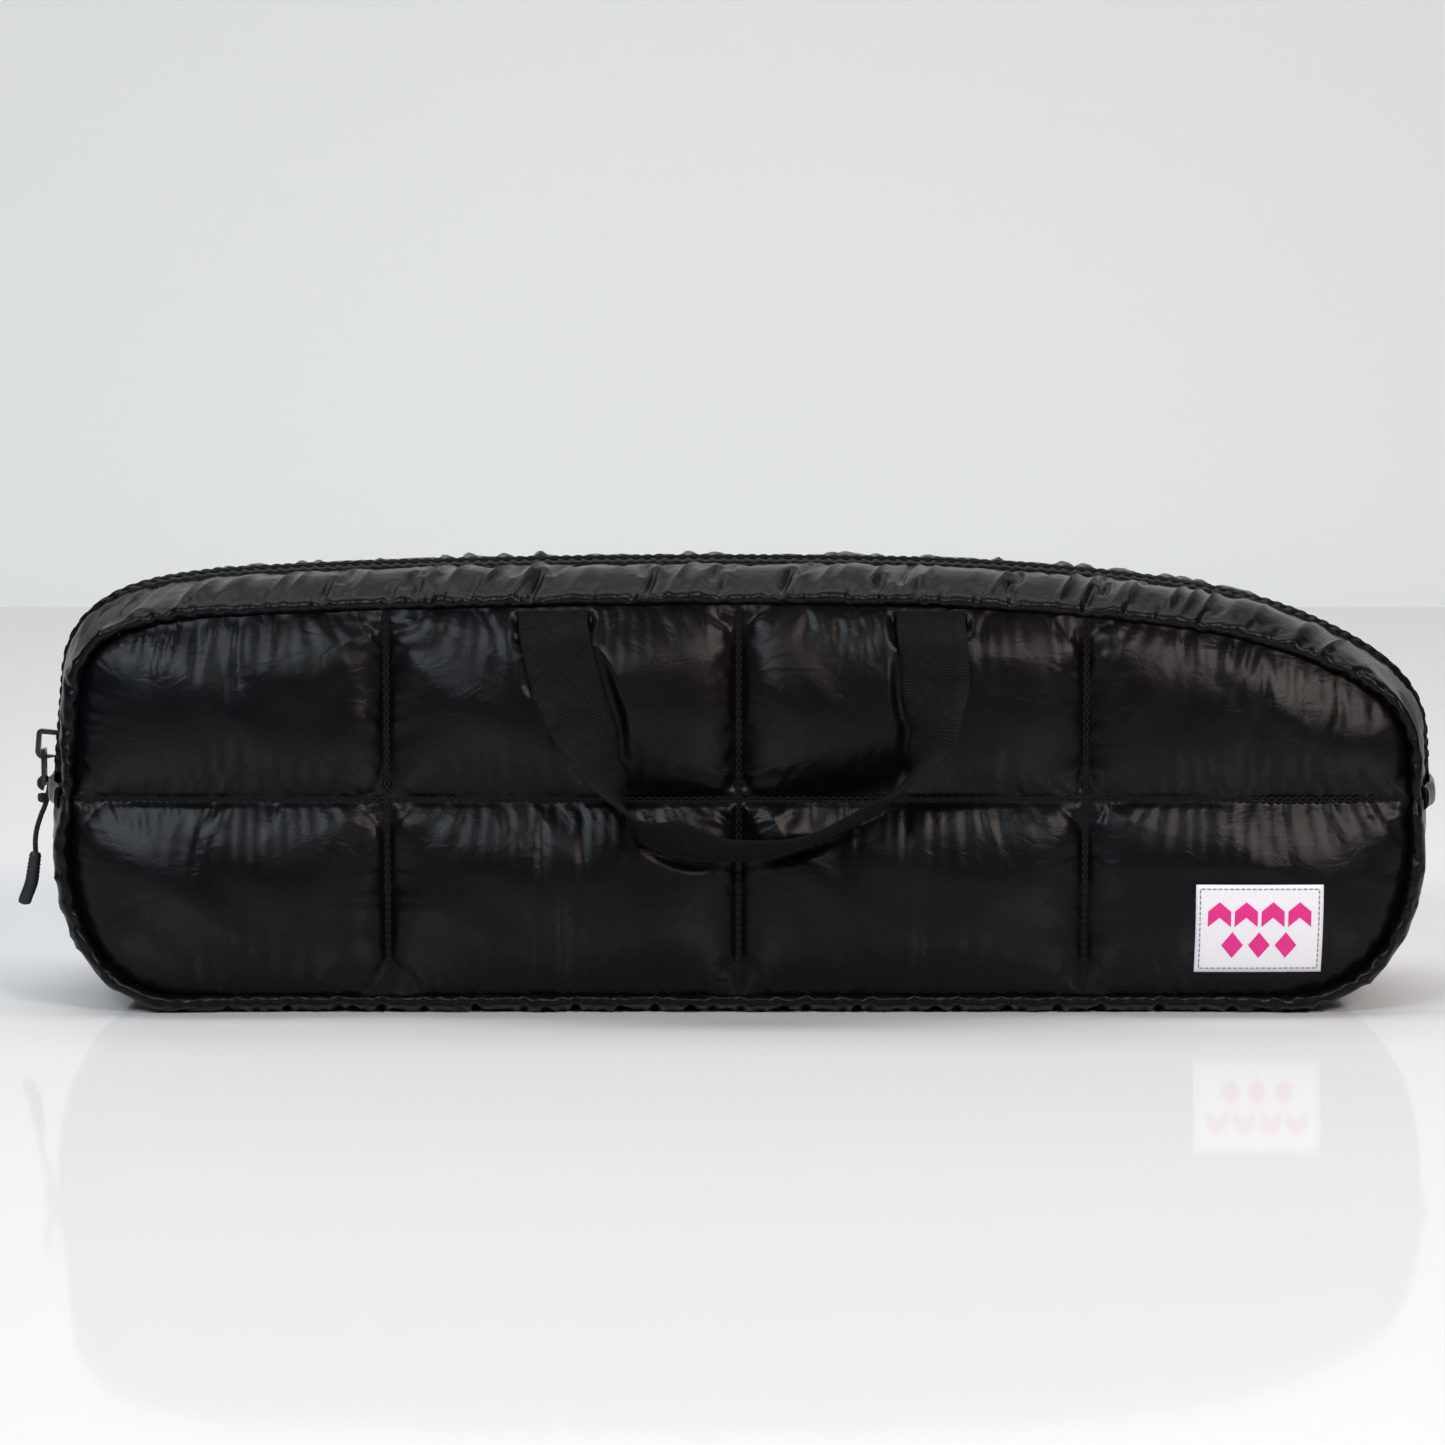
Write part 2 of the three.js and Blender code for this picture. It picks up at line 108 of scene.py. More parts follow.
LEG_FOOT, LEG_HEAD = (-247.5, ZIP_END_Z), (-243.5, 124)
ZIP_LINE = Line(
    straight(LEG_FOOT, LEG_HEAD),
    cubic(LEG_HEAD, (-241.8, 142), (-226, 146), (-196, 148.5)),
    cubic((-196, 148.5), (-130, 152.8), (-20, 154.5), (60, 152.8)),
    cubic((60, 152.8), (95, 152), (125, 149.5), (150, 146.5)),
    cubic((150, 146.5), (178, 143), (198, 138.5), (215, 131)),
    cubic((215, 131), (236, 122), (247, 114), (248.5, 101)),
    straight((248.5, 101), (250, ZIP_END_Z)),
)
BASE_LINE = Line(
    straight((250, ZIP_END_Z), (249.5, 62)),
    cubic((249.5, 62), (248, 26), (232, BASE_Z), (200, BASE_Z)),
    straight((200, BASE_Z), (-206, BASE_Z), 60),
    cubic((-206, BASE_Z), (-234, BASE_Z), (-247.5, 28), (-249, 62)),
    straight((-249, 62), LEG_FOOT),
)
LEVEL = [BASE_LINE.length_at((200, BASE_Z)), BASE_LINE.length_at((-206, BASE_Z))]
OUTLINE = np.concatenate([ZIP_LINE.at(np.arange(0, ZIP_LINE.length, 0.5)),
                          BASE_LINE.at(np.arange(0, BASE_LINE.length, 0.5))])


def smooth(t):
    t = np.clip(t, 0, 1)
    return t * t * (3 - 2 * t)


def zip_crown(s):
    u = s / ZIP_LINE.length
    return CROWN_END + (CROWN_TOP - CROWN_END) * smooth((u - 0.08) / 0.12) * smooth((1 - u) / 0.2)


def base_crown(s):
    level = smooth(s / LEVEL[0]) * smooth((BASE_LINE.length - s) / (BASE_LINE.length - LEVEL[1]))
    return CROWN_END + (CROWN_BASE - CROWN_END) * level


# ---- meshes ----
def new_object(name, verts, faces, material=None, smooth_shading=True):
    """A mesh object from points in millimetres."""
    mesh = bpy.data.meshes.new(name)
    mesh.from_pydata((np.asarray(verts) * MM).tolist(), [], [list(map(int, f)) for f in faces])
    mesh.polygons.foreach_set("use_smooth", [smooth_shading] * len(mesh.polygons))
    mesh.update()
    obj = bpy.data.objects.new(name, mesh)
    bpy.context.scene.collection.objects.link(obj)
    if material:
        mesh.materials.append(material)
    return obj


def grid_faces(rows, columns, offset=0, flip=False):
    r, c = np.meshgrid(np.arange(rows - 1), np.arange(columns - 1), indexing="ij")
    a = (r * columns + c).ravel() + offset
    quads = np.stack([a, a + 1, a + columns + 1, a + columns], -1)
    return quads[:, ::-1] if flip else quads


def inside(points, outline):
    """Even-odd test of each point against a closed outline."""
    x, z = points[:, 0], points[:, 1]
    result = np.zeros(len(points), bool)
    for (x0, z0), (x1, z1) in zip(outline, np.roll(outline, -1, axis=0)):
        if z0 == z1:
            continue
        crosses = (z0 > z) != (z1 > z)
        result ^= crosses & (x < (x1 - x0) * (z - z0) / (z1 - z0) + x0)
    return result


def nearest_index(points):
    """Which point of the outline is closest, taken in batches to spare memory."""
    best = np.empty(len(points), int)
    for i in range(0, len(points), BATCH):
        part = points[i:i + BATCH]
        best[i:i + BATCH] = ((OUTLINE**2).sum(1) - 2 * part @ OUTLINE.T).argmin(1)
    return best


def outline_distance(points):
    return np.linalg.norm(points - OUTLINE[nearest_index(points)], axis=1)


OUTLINE_LENGTH = lengths(np.r_[OUTLINE, OUTLINE[:1]])


def ripple(u, seed):
    """Smooth random values in -1..1, one knot per unit of u."""
    table = np.random.default_rng(seed).uniform(-1, 1, 4096)
    k = np.floor(u).astype(int)
    f = smooth(u - k)
    return table[k % 4096] * (1 - f) + table[(k + 1) % 4096] * f


def catmull(values, at):
    """Smooth reading of a table at fractional rows."""
    last = len(values) - 1
    at = np.clip(at, 0, last)
    k = np.minimum(at.astype(int), last - 1)
    f = (at - k).reshape(-1, *([1] * (values.ndim - 1)))
    p0, p1, p2, p3 = (values[np.clip(k + i, 0, last)] for i in (-1, 0, 1, 2))
    return 0.5 * (2 * p1 + (p2 - p0) * f + (2 * p0 - 5 * p1 + 4 * p2 - p3) * f**2
                  + (3 * p1 - p0 - 3 * p2 + p3) * f**3)


# ---- cloth ----
SIM_SCALE = 0.01  # the cloth is simulated at ten times life size
CLOTH = dict(mass=0.01, pressure=40.0, stiffness=25.0, bending=0.06, slack=0.06)
FRAMES = 26


def inflate(islands):
    """One cloth simulation of separate pieces, each (verts, faces, pinned); gives their new points."""
    starts = np.cumsum([0] + [len(v) for v, _, _ in islands])
    verts = np.concatenate([v for v, _, _ in islands])
    faces = np.concatenate([f + start for (_, f, _), start in zip(islands, starts)])
    pinned = np.flatnonzero(np.concatenate([p for _, _, p in islands]))
    obj = new_object("cloth", verts * (SIM_SCALE / MM), faces)
    obj.vertex_groups.new(name="pin").add(pinned.tolist(), 1.0, "ADD")
    cloth = obj.modifiers.new("cloth", "CLOTH")
    c = cloth.settings
    c.shrink_min = -CLOTH["slack"]
    c.vertex_group_mass = "pin"
    c.quality = 6
    c.mass = CLOTH["mass"]
    c.tension_stiffness = c.compression_stiffness = CLOTH["stiffness"]
    c.shear_stiffness = CLOTH["stiffness"] * 0.3
    c.bending_stiffness = CLOTH["bending"]
    c.tension_damping = c.compression_damping = c.shear_damping = 5
    c.bending_damping = 0.5
    c.air_damping = 2
    c.use_pressure = True
    c.uniform_pressure_force = CLOTH["pressure"]
    c.effector_weights.gravity = 0
    cloth.collision_settings.use_collision = False
    cloth.collision_settings.use_self_collision = False
    cloth.point_cache.frame_start = 1
    cloth.point_cache.frame_end = FRAMES
    scene = bpy.context.scene
    for i in range(1, FRAMES + 1):
        scene.frame_set(i)
    evaluated = obj.evaluated_get(bpy.context.evaluated_depsgraph_get())
    result = np.empty(len(verts) * 3)
    evaluated.data.vertices.foreach_get("co", result)
    bpy.data.objects.remove(obj)
    scene.frame_set(1)
    return np.split(result.reshape(-1, 3) / SIM_SCALE, starts[1:-1])


# ---- camera ----
CAMERA_TARGET = Vector((-0.006, -0.050, 0.110))
CAMERA_DISTANCE = 1.8
CAMERA_ELEVATION = math.radians(7)


def add_camera():
    data = bpy.data.cameras.new("camera")
    data.lens = 121
    data.sensor_width = 36
    obj = bpy.data.objects.new("camera", data)
    back = Vector((0, -math.cos(CAMERA_ELEVATION), math.sin(CAMERA_ELEVATION)))
    obj.location = CAMERA_TARGET + back * CAMERA_DISTANCE
    obj.rotation_euler = (math.pi / 2 - CAMERA_ELEVATION, 0, 0)
    bpy.context.scene.collection.objects.link(obj)
    bpy.context.scene.camera = obj


add_camera()


# ---- materials ----
class Shader:
    """A node material: node() adds a node, and names of sockets take numbers or other nodes' outputs."""

    def __init__(self, name, colour, roughness, **sockets):
        self.material = bpy.data.materials.new(name)
        self.material.use_nodes = True
        self.tree = self.material.node_tree
        self.bsdf = self.tree.nodes["Principled BSDF"]
        self.bsdf.inputs["Base Color"].default_value = (*colour, 1)
        self.bsdf.inputs["Roughness"].default_value = roughness
        for key, value in sockets.items():
            self.bsdf.inputs[key.replace("_", " ")].default_value = value
        self.height = None

    def node(self, kind, settings=(), **inputs):
        node = self.tree.nodes.new("ShaderNode" + kind)
        for key, value in dict(settings).items():
            setattr(node, key, value)
        for key, value in inputs.items():
            socket = node.inputs[int(key[1:])] if key[0] == "i" and key[1:].isdigit() else node.inputs[key]
            if isinstance(value, bpy.types.NodeSocket):
                self.tree.links.new(value, socket)
            else:
                socket.default_value = value
        return node

    def place(self, kind="Object", scale=(1, 1, 1), turn=(0, 0, 0)):
        coordinates = self.node("TexCoord").outputs[kind]
        mapping = self.node("Mapping", Vector=coordinates, Scale=scale, Rotation=turn)
        return mapping.outputs["Vector"]

    def noise(self, vector, scale, detail=3.0, distortion=0.0):
        node = self.node("TexNoise", Vector=vector, Scale=scale, Detail=detail, Distortion=distortion)
        return node.outputs["Fac"]

    def math(self, operation, a, b=0.0, clamp=False):
        return self.node("Math", {"operation": operation, "use_clamp": clamp}, i0=a, i1=b).outputs[0]

    def spread(self, value, low, high, out_low, out_high):
        node = self.node("MapRange", Value=value)
        ends = {"From Min": low, "From Max": high, "To Min": out_low, "To Max": out_high}
        for key, number in ends.items():
            node.inputs[key].default_value = number
        return node.outputs["Result"]

    def mix(self, factor, a, b):
        node = self.node("Mix", {"data_type": "RGBA"})
        self.tree.links.new(factor, node.inputs[0])
        node.inputs[6].default_value = (*a, 1)
        node.inputs[7].default_value = (*b, 1)
        return node.outputs[2]

    def link(self, output, name):
        self.tree.links.new(output, self.bsdf.inputs[name])

    def bump(self, height, distance, strength=1.0):
        node = self.node("Bump", Height=height, Distance=distance, Strength=strength)
        if self.height is not None:
            self.tree.links.new(self.height, node.inputs["Normal"])
        self.height = node.outputs["Normal"]
        self.link(self.height, "Normal")

    def weave(self, vector, across, along):
        """Crossing threads: across and along are threads per unit of the coordinates."""
        axes = self.node("SeparateXYZ", Vector=vector).outputs
        waves = [self.math("SINE", self.math("MULTIPLY", axes[i], 2 * math.pi * rate))
                 for i, rate in ((0, across), (1, along))]
        return self.math("MULTIPLY", *waves)


def shell_material():
    """Satin-faced nylon: near black, fine crinkles, a faint cool and warm drift."""
    s = Shader("shell_cloth", (0.005, 0.005, 0.006), 0.4, Specular_IOR_Level=0.15)
    whole = s.place()
    drift = s.spread(s.noise(whole, 9, 1), 0.35, 0.65, 0, 1)
    s.link(s.mix(drift, (0.0030, 0.0021, 0.0019), (0.0015, 0.0023, 0.0032)), "Base Color")
    s.link(s.spread(s.noise(whole, 60, 4), 0.3, 0.7, 0.24, 0.32), "Roughness")
    folds = s.noise(s.place(scale=(1, 1, 1.6), turn=(0, 0.5, 0)), 60, 4, 1.2)
    ridged = s.math("ABSOLUTE", s.math("SUBTRACT", folds, 0.5))
    s.bump(ridged, 0.0012, 0.3)
    s.bump(s.noise(whole, 300, 3, 0.6), 0.0002, 0.3)
    s.bump(s.weave(s.place(turn=(math.pi / 2, 0, 0)), 2600, 2600), 0.00003, 0.3)
    return s.material


def woven(name, dark, light, roughness, pitch, depth, kind="UV", **sockets):
    """Plain woven cloth, its threads pitch metres apart: webbing, tape, lining, ribbon."""
    s = Shader(name, dark, roughness, **sockets)
    rate = 1 / pitch
    threads = s.weave(s.place(kind), rate / 2, rate / 2)
    tone = s.math("ADD", s.math("MULTIPLY", threads, 0.25), s.noise(s.place("Object"), 300, 3))
    s.link(s.mix(s.spread(tone, 0.2, 0.85, 0, 1), dark, light), "Base Color")
    worn = s.spread(s.noise(s.place("Object"), 90, 3), 0.3, 0.7, roughness - 0.07, roughness + 0.07)
    s.link(worn, "Roughness")
    s.bump(s.math("ABSOLUTE", threads), depth, 0.8)
    return s.material


def moulded(name, dark, light, roughness, grain, depth, **sockets):
    """Plastic, rubber or lacquered metal: slight mottling, worn highlights and a fine grain."""
    s = Shader(name, dark, roughness, **sockets)
    whole = s.place()
    s.link(s.mix(s.spread(s.noise(whole, 250, 4), 0.4, 0.7, 0, 1), dark, light), "Base Color")
    s.link(s.spread(s.noise(whole, 500, 3), 0.3, 0.7, roughness - 0.06, roughness + 0.08), "Roughness")
    s.bump(s.noise(whole, grain, 3), depth, 0.4)
    return s.material


def label_material():
    """White satin-woven ribbon: fine warp lines, slightly cool."""
    s = Shader("label_cloth", (0.8, 0.8, 0.83), 0.55, Sheen_Weight=0.15)
    vector = s.place("UV")
    lines = s.weave(vector, 700, 1100)
    s.link(s.mix(s.spread(lines, -1, 1, 0, 1), (0.74, 0.73, 0.77), (0.86, 0.85, 0.89)), "Base Color")
    s.bump(lines, 0.00005, 0.6)
    return s.material


def embroidery_material():
    s = Shader("label_thread", (0.75, 0.006, 0.22), 0.5, Sheen_Weight=0.2)
    lines = s.weave(s.place("Object", turn=(math.pi / 2, 0, 0.6)), 900, 300)
    s.link(s.mix(s.spread(lines, -1, 1, 0, 1), (0.62, 0.005, 0.17), (0.8, 0.012, 0.27)), "Base Color")
    s.bump(lines, 0.0001, 0.6)
    return s.material


SHELL = shell_material()
LINING = woven("lining_cloth", (0.01, 0.01, 0.011), (0.022, 0.022, 0.024), 0.6, 0.0006, 0.00008, "Object")
WEBBING = woven("webbing", (0.0018, 0.0018, 0.002), (0.0075, 0.0072, 0.0072), 0.8, 0.0010, 0.0005,
                Specular_IOR_Level=0.16)
BINDING = woven("seam_binding", (0.006, 0.006, 0.006), (0.016, 0.016, 0.017), 0.75, 0.0009, 0.0002, "Object")
TAPE = woven("zip_tape", (0.006, 0.006, 0.0065), (0.016, 0.016, 0.017), 0.7, 0.0008, 0.0002, "Object")
THREAD = woven("thread", (0.0012, 0.0012, 0.0013), (0.004, 0.004, 0.0045), 0.7, 0.0006, 0.0001, "Object",
               Specular_IOR_Level=0.2)
PALE_THREAD = woven("label_edge_thread", (0.2, 0.19, 0.23), (0.36, 0.34, 0.4), 0.6, 0.0006, 0.0001, "Object")
CORD = woven("cord", (0.004, 0.004, 0.0042), (0.016, 0.016, 0.017), 0.7, 0.0011, 0.0003)
COIL = moulded("zip_coil", (0.008, 0.008, 0.009), (0.016, 0.016, 0.018), 0.3, 1500, 0.00005)
METAL = moulded("zip_metal", (0.008, 0.008, 0.009), (0.03, 0.03, 0.032), 0.3, 1800, 0.00004, Metallic=0.4,
                Coat_Weight=0.3, Coat_Roughness=0.2)
GRIP = moulded("grip", (0.006, 0.006, 0.0065), (0.013, 0.013, 0.014), 0.5, 2500, 0.00008)
LABEL = label_material()
PINK = embroidery_material()


# ---- general mesh makers ----
def tube(points, radius, sides=8, start_normal=(0, 1, 0)):
    """Verts and faces of a round bar along points; its ends are closed with a small cap."""
    points = np.asarray(points, float)
    count = len(points)
    tangent = np.gradient(points, axis=0)
    tangent /= np.linalg.norm(tangent, axis=1, keepdims=True)
    reference = np.broadcast_to(np.array(start_normal, float), tangent.shape)
    side = np.cross(tangent, reference)
    side /= np.maximum(np.linalg.norm(side, axis=1, keepdims=True), 1e-9)
    up = np.cross(side, tangent)
    angle = np.linspace(0, 2 * math.pi, sides, endpoint=False)
    r = np.broadcast_to(np.asarray(radius, float), (count,))[:, None, None]
    ring = np.cos(angle)[None, :, None] * side[:, None] + np.sin(angle)[None, :, None] * up[:, None]
    verts = (points[:, None] + r * ring).reshape(-1, 3)
    return verts, ring_faces(count, sides)


def merge(parts):
    verts, faces, base = [], [], 0
    for v, f in parts:
        verts.append(v)
        faces += [tuple(int(i) + base for i in face) for face in f]
        base += len(v)
    return np.concatenate(verts), faces


def mirrored(part):
    verts, faces = part
    return np.asarray(verts) * (1, -1, 1), [tuple(face)[::-1] for face in faces]


def sided(name, part, side, material):
    """A piece made for the front, or its mirror image for the back."""
    return new_object(name, *(mirrored(part) if side > 0 else part), material)


def set_uv(obj, values):
    """values: one (u, v) in metres for each vertex."""
    layer = obj.data.uv_layers.new(name="UVMap")
    index = np.empty(len(obj.data.loops), int)
    obj.data.loops.foreach_get("vertex_index", index)
    layer.data.foreach_set("uv", np.asarray(values)[index].astype(np.float32).ravel())


def ring_faces(rows, columns, capped=True):
    """Faces round a swept closed section: a flat face at each end, or joined end to end if not capped."""
    steps = range(rows - 1 if capped else rows)
    faces = []
    for i in steps:
        here, there = i * columns, (i + 1) % rows * columns
        faces += [(here + k, here + (k + 1) % columns, there + (k + 1) % columns, there + k)
                  for k in range(columns)]
    if capped:
        faces += [tuple(range(columns))[::-1], tuple(range((rows - 1) * columns, rows * columns))]
    return faces


def section_ring(line, s, crown, y, a, b):
    """Points around a section (y, a, b) at each station s: shape (stations, section, 3)."""
    p, n = line.at(s), line.normal(s)
    out = a[None, :] + b[None, :] * crown(s)[:, None]
    y = np.broadcast_to(y, out.shape)
    return np.stack([p[:, :1] + n[:, :1] * out, y, p[:, 1:] + n[:, 1:] * out], -1)


def push_out(grid, line, s, lift):
    """Moves each point of a swept grid away from the line."""
    n = line.normal(s)
    grid[..., 0] += n[:, :1] * lift
    grid[..., 2] += n[:, 1:] * lift


def along_profile(points, step, crown=13.0):
    """Evenly spaced (y, a, b) along a section's polyline."""
    points = np.array(points, float)
    flat = np.stack([points[:, 0], points[:, 1] + points[:, 2] * crown], -1)
    s = lengths(flat)
    at = np.linspace(0, s[-1], max(2, round(s[-1] / step) + 1))
    return [np.interp(at, s, points[:, i]) for i in range(3)]


def skin(line, crown, section, s, waves=0.0, seed=0):
    """A swept piece of plain cloth or tape, with gentle waves along it."""
    y, a, b = (np.array(c, float) for c in zip(*section))
    grid = section_ring(line, s, crown, y, a, b)
    if waves:
        push_out(grid, line, s, waves * ripple(s / 9, seed)[:, None])
    return grid.reshape(-1, 3), ring_faces(*grid.shape[:2])


def attach(obj, slot, *nodes, body="bag"):
    """Hides the CAD nodes a piece stands for and hangs the piece on the body it moves with. The slot is not
    used.
    """
    if nodes:
        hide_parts(*nodes)
    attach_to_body(obj, body)
    return obj


def subdivide(obj, levels=1):
    """Applies a subdivision surface to the mesh."""
    modifier = obj.modifiers.new("smooth", "SUBSURF")
    modifier.levels = modifier.render_levels = levels
    apply_modifiers(obj)


def apply_modifiers(obj):
    evaluated = obj.evaluated_get(bpy.context.evaluated_depsgraph_get())
    mesh = bpy.data.meshes.new_from_object(evaluated)
    obj.modifiers.clear()
    obj.data = mesh


def get_points(obj):
    points = np.empty(len(obj.data.vertices) * 3)
    obj.data.vertices.foreach_get("co", points)
    return points.reshape(-1, 3) / MM


def set_points(obj, points):
    obj.data.vertices.foreach_set("co", (points * MM).ravel())
    obj.data.update()


# ---- handles: the line of the webbing ----
WEB_WIDTH, WEB_THICK = 25.4, 1.6
HANDLE_PATH = np.array([
    (-68.5, 146, 0), (-65, 130, 5), (-59, 113, 24), (-50.5, 94, 56), (-41, 79, 95), (-24, 69.5, 127),
    (0, 64.5, 116), (25, 68.5, 105), (47, 78.5, 108), (63, 91, 92), (71.3, 106, 54), (72.6, 127, 14),
    (71, 146, 0),
])  # x, z and the turn in degrees away from lying flat to the panel
HANDLE_REST = 55.4  # the nearer edge of the webbing lies this far out, on the puffs
SEWN_TOP = 151.5


def handle_line(count=261):
    """Centre, across and through directions of the webbing at even steps, sewn ends included."""
    knots = np.arange(len(HANDLE_PATH), dtype=float)
    t = np.linspace(0, knots[-1], count)
    centre = catmull(HANDLE_PATH[:, :2], t)
    k = np.minimum(t.astype(int), len(knots) - 2)
    turn = np.radians(HANDLE_PATH[k, 2] + (HANDLE_PATH[k + 1, 2] - HANDLE_PATH[k, 2]) * smooth(t - k))
    for side in (0, -1):
        top = np.array([(centre[side, 0], z) for z in np.linspace(SEWN_TOP, centre[side, 1], 9)[:-1]])
        centre = np.concatenate([top, centre] if side == 0 else [centre, top[::-1]])
    turn = np.r_[np.zeros(8), turn, np.zeros(8)]
    depth = HANDLE_REST + np.sin(turn) * WEB_WIDTH / 2
    sewn = smooth((centre[:, 1] - 140) / (SEWN_TOP - 140)) * (np.abs(centre[:, 0]) > 40)
    depth = depth * (1 - sewn) + (SEAM_Y + 2.2) * sewn
    points = np.stack([centre[:, 0], -depth, centre[:, 1]], -1)
    tangent = np.gradient(points, axis=0)
    tangent /= np.linalg.norm(tangent, axis=1, keepdims=True)
    flat = np.stack([-tangent[:, 2], np.zeros(len(tangent)), tangent[:, 0]], -1)
    flat /= np.linalg.norm(flat, axis=1, keepdims=True)
    face = np.cross(flat, tangent)
    across = flat * np.cos(turn)[:, None] + face * np.sin(turn)[:, None]
    return points, across, np.cross(across, tangent)


def webbing_handle(name, side):
    points, across, through = handle_line()
    columns = 18
    w = np.linspace(-1, 1, columns)
    thick = WEB_THICK / 2 * (1 - 0.7 * np.abs(w) ** 8)  # thinner at the woven edges
    arc = 0.5 * (1 - w**2)  # the webbing is slightly dished
    length = lengths(points)
    sway = 0.25 * ripple(length / 11, 31)
    upper = [points + across * (k * WEB_WIDTH / 2) + through * (h + d + sway)[:, None]
             for k, h, d in zip(w, thick, arc)]
    lower = [points + across * (k * WEB_WIDTH / 2) + through * (d - h + sway)[:, None]
             for k, h, d in zip(w, thick, arc)][::-1]
    grid = np.stack(upper + lower, 1)
    part = grid.reshape(-1, 3), ring_faces(*grid.shape[:2])
    across_uv = np.r_[w, w[::-1] + 0.02] * WEB_WIDTH / 2 * MM
    uv = np.stack(np.broadcast_arrays(across_uv[None, :], length[:, None] * MM), -1).reshape(-1, 2)
    if side > 0:
        part = mirrored(part)
    obj = new_object(name + "_handle_webbing", *part, WEBBING)
    set_uv(obj, uv)
    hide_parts(name + "_handle", name + "_handle_end_left", name + "_handle_end_right")
    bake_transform(obj)
    return obj


# ---- panels ----
PANEL_STEP = 2.5
LABEL_CENTRE = np.array([193.2, 33.5])
LABEL_SIZE = np.array([47.3, 33.7])


def ticks(stops, step):
    runs = [np.linspace(a, b, max(2, round((b - a) / step)), endpoint=False)
            for a, b in zip(stops, stops[1:])]
    return np.concatenate([*runs, stops[-1:]])


def boundary_loop(quads):
    edges = set(zip(quads.ravel().tolist(), np.roll(quads, -1, axis=1).ravel().tolist()))
    following = {a: b for a, b in edges if (b, a) not in edges}
    loop = [min(following)]
    while following[loop[-1]] != loop[0]:
        loop.append(following[loop[-1]])
    return np.array(loop)


def panel_grid(step):
    """Squares lined up with the quilting lines, its border drawn onto the seam outline."""
    xs, zs = ticks([-262, *QUILT_X, 262], step), ticks([-5, QUILT_Z, 165], step)
    points = np.stack([c.ravel() for c in np.meshgrid(xs, zs, indexing="ij")], -1)
    quads = grid_faces(len(xs), len(zs), flip=True)
    centre = points[quads].mean(1)
    distance = outline_distance(centre)
    quads = quads[inside(centre, OUTLINE) & (distance > 0.3 * step)]
    used, flat = np.unique(quads, return_inverse=True)
    quads = flat.reshape(quads.shape)
    points = points[used]
    loop = boundary_loop(quads)
    edge = np.zeros(len(points), bool)
    edge[loop] = True
    found = nearest_index(points[loop])
    total = OUTLINE_LENGTH[-1]
    turned = np.unwrap(np.r_[OUTLINE_LENGTH[found], OUTLINE_LENGTH[found[0]]] / total * 2 * math.pi)
    travelled = turned * total / 2 / math.pi
    even = np.linspace(travelled[0], travelled[-1], len(travelled))[:-1]
    slip = travelled[:-1] - even
    for _ in range(25):
        slip = 0.5 * slip + 0.25 * (np.roll(slip, 1) + np.roll(slip, -1))
    closed = np.r_[OUTLINE, OUTLINE[:1]]
    at = (even + slip) % total
    points[loop] = np.stack([np.interp(at, OUTLINE_LENGTH, closed[:, i]) for i in (0, 1)], -1)
    lines = np.isclose(points[:, 1], QUILT_Z)
    for x in QUILT_X:
        lines |= np.isclose(points[:, 0], x)
    return points, quads, edge | lines


def panel_rest(points):
    """How far out the quilted layers lie before the filling pushes them: sunk at the seam."""
    distance = outline_distance(points)
    return SEAM_Y + 2.6 * smooth(distance / 45), distance


def gathers(along, away, seed):
    """Folds that leave a seam at a slant, each with its own length and lean, and die out."""
    u = along + 0.9 * ripple(along / 38, seed) * away
    reach = 8.5 + 4.5 * ripple(u / 9, seed + 1)
    crest = (1 - np.abs(ripple(u / 4.4, seed + 2))) ** 2 - 0.4
    strength = 0.3 + 0.9 * smooth(0.5 + 0.9 * ripple(u / 12, seed + 3))
    fine = 0.3 * ripple(u / 1.9, seed + 4) * np.exp(-away / 3)
    return (1.25 * crest * strength * np.exp(-away / reach) + fine) * (1 - np.exp(-away / 0.8))


def line_puckers(points, distance, base):
    """Gathers beside every seam, and slow slanting waves over each quilted field."""
    x, z = points.T
    lift = gathers(OUTLINE_LENGTH[nearest_index(points)], distance, 71)
    for i, line_x in enumerate(QUILT_X):
        lift += gathers(z + 1000 * (i + 1), np.abs(x - line_x), 40 + 5 * i)
    for side, seed in ((1, 60), (-1, 65)):
        lift += np.where((z - QUILT_Z) * side > 0, gathers(x, np.abs(z - QUILT_Z), seed), 0)
    wander = 1.6 * ripple(x / 55, 91)
    slow = ripple(0.018 * x + z / 17 + wander, 90) + 0.7 * ripple(0.03 * x - z / 26 - wander, 92)
    return base + lift + 1.1 * slow * (1 - np.exp(-distance / 14))


def stitched_valleys(points, depth):
    """The stitches hold the cloth down along each quilting line."""
    away = np.minimum(np.abs(points[:, :1] - np.array(QUILT_X)).min(1), np.abs(points[:, 1] - QUILT_Z))
    return np.minimum(depth, panel_rest(points)[0] + 0.1 + 1.5 * np.maximum(away - 0.9, 0))


def under_handle(points, depth):
    """The webbing presses the puffs down along its line."""
    line, across, _ = handle_line()
    samples = np.concatenate([line + across * k for k in np.linspace(-12, 12, 9)])
    flat = samples[:, [0, 2]]
    limit = -samples[:, 1] - 1.3
    for i in range(0, len(points), BATCH):
        gap = np.linalg.norm(points[i:i + BATCH, None] - flat[None], axis=2)
        allowed = (limit[None] + 1.2 * np.maximum(gap - 3, 0) ** 1.15).min(1)
        depth[i:i + BATCH] = np.minimum(depth[i:i + BATCH], allowed)
    return depth


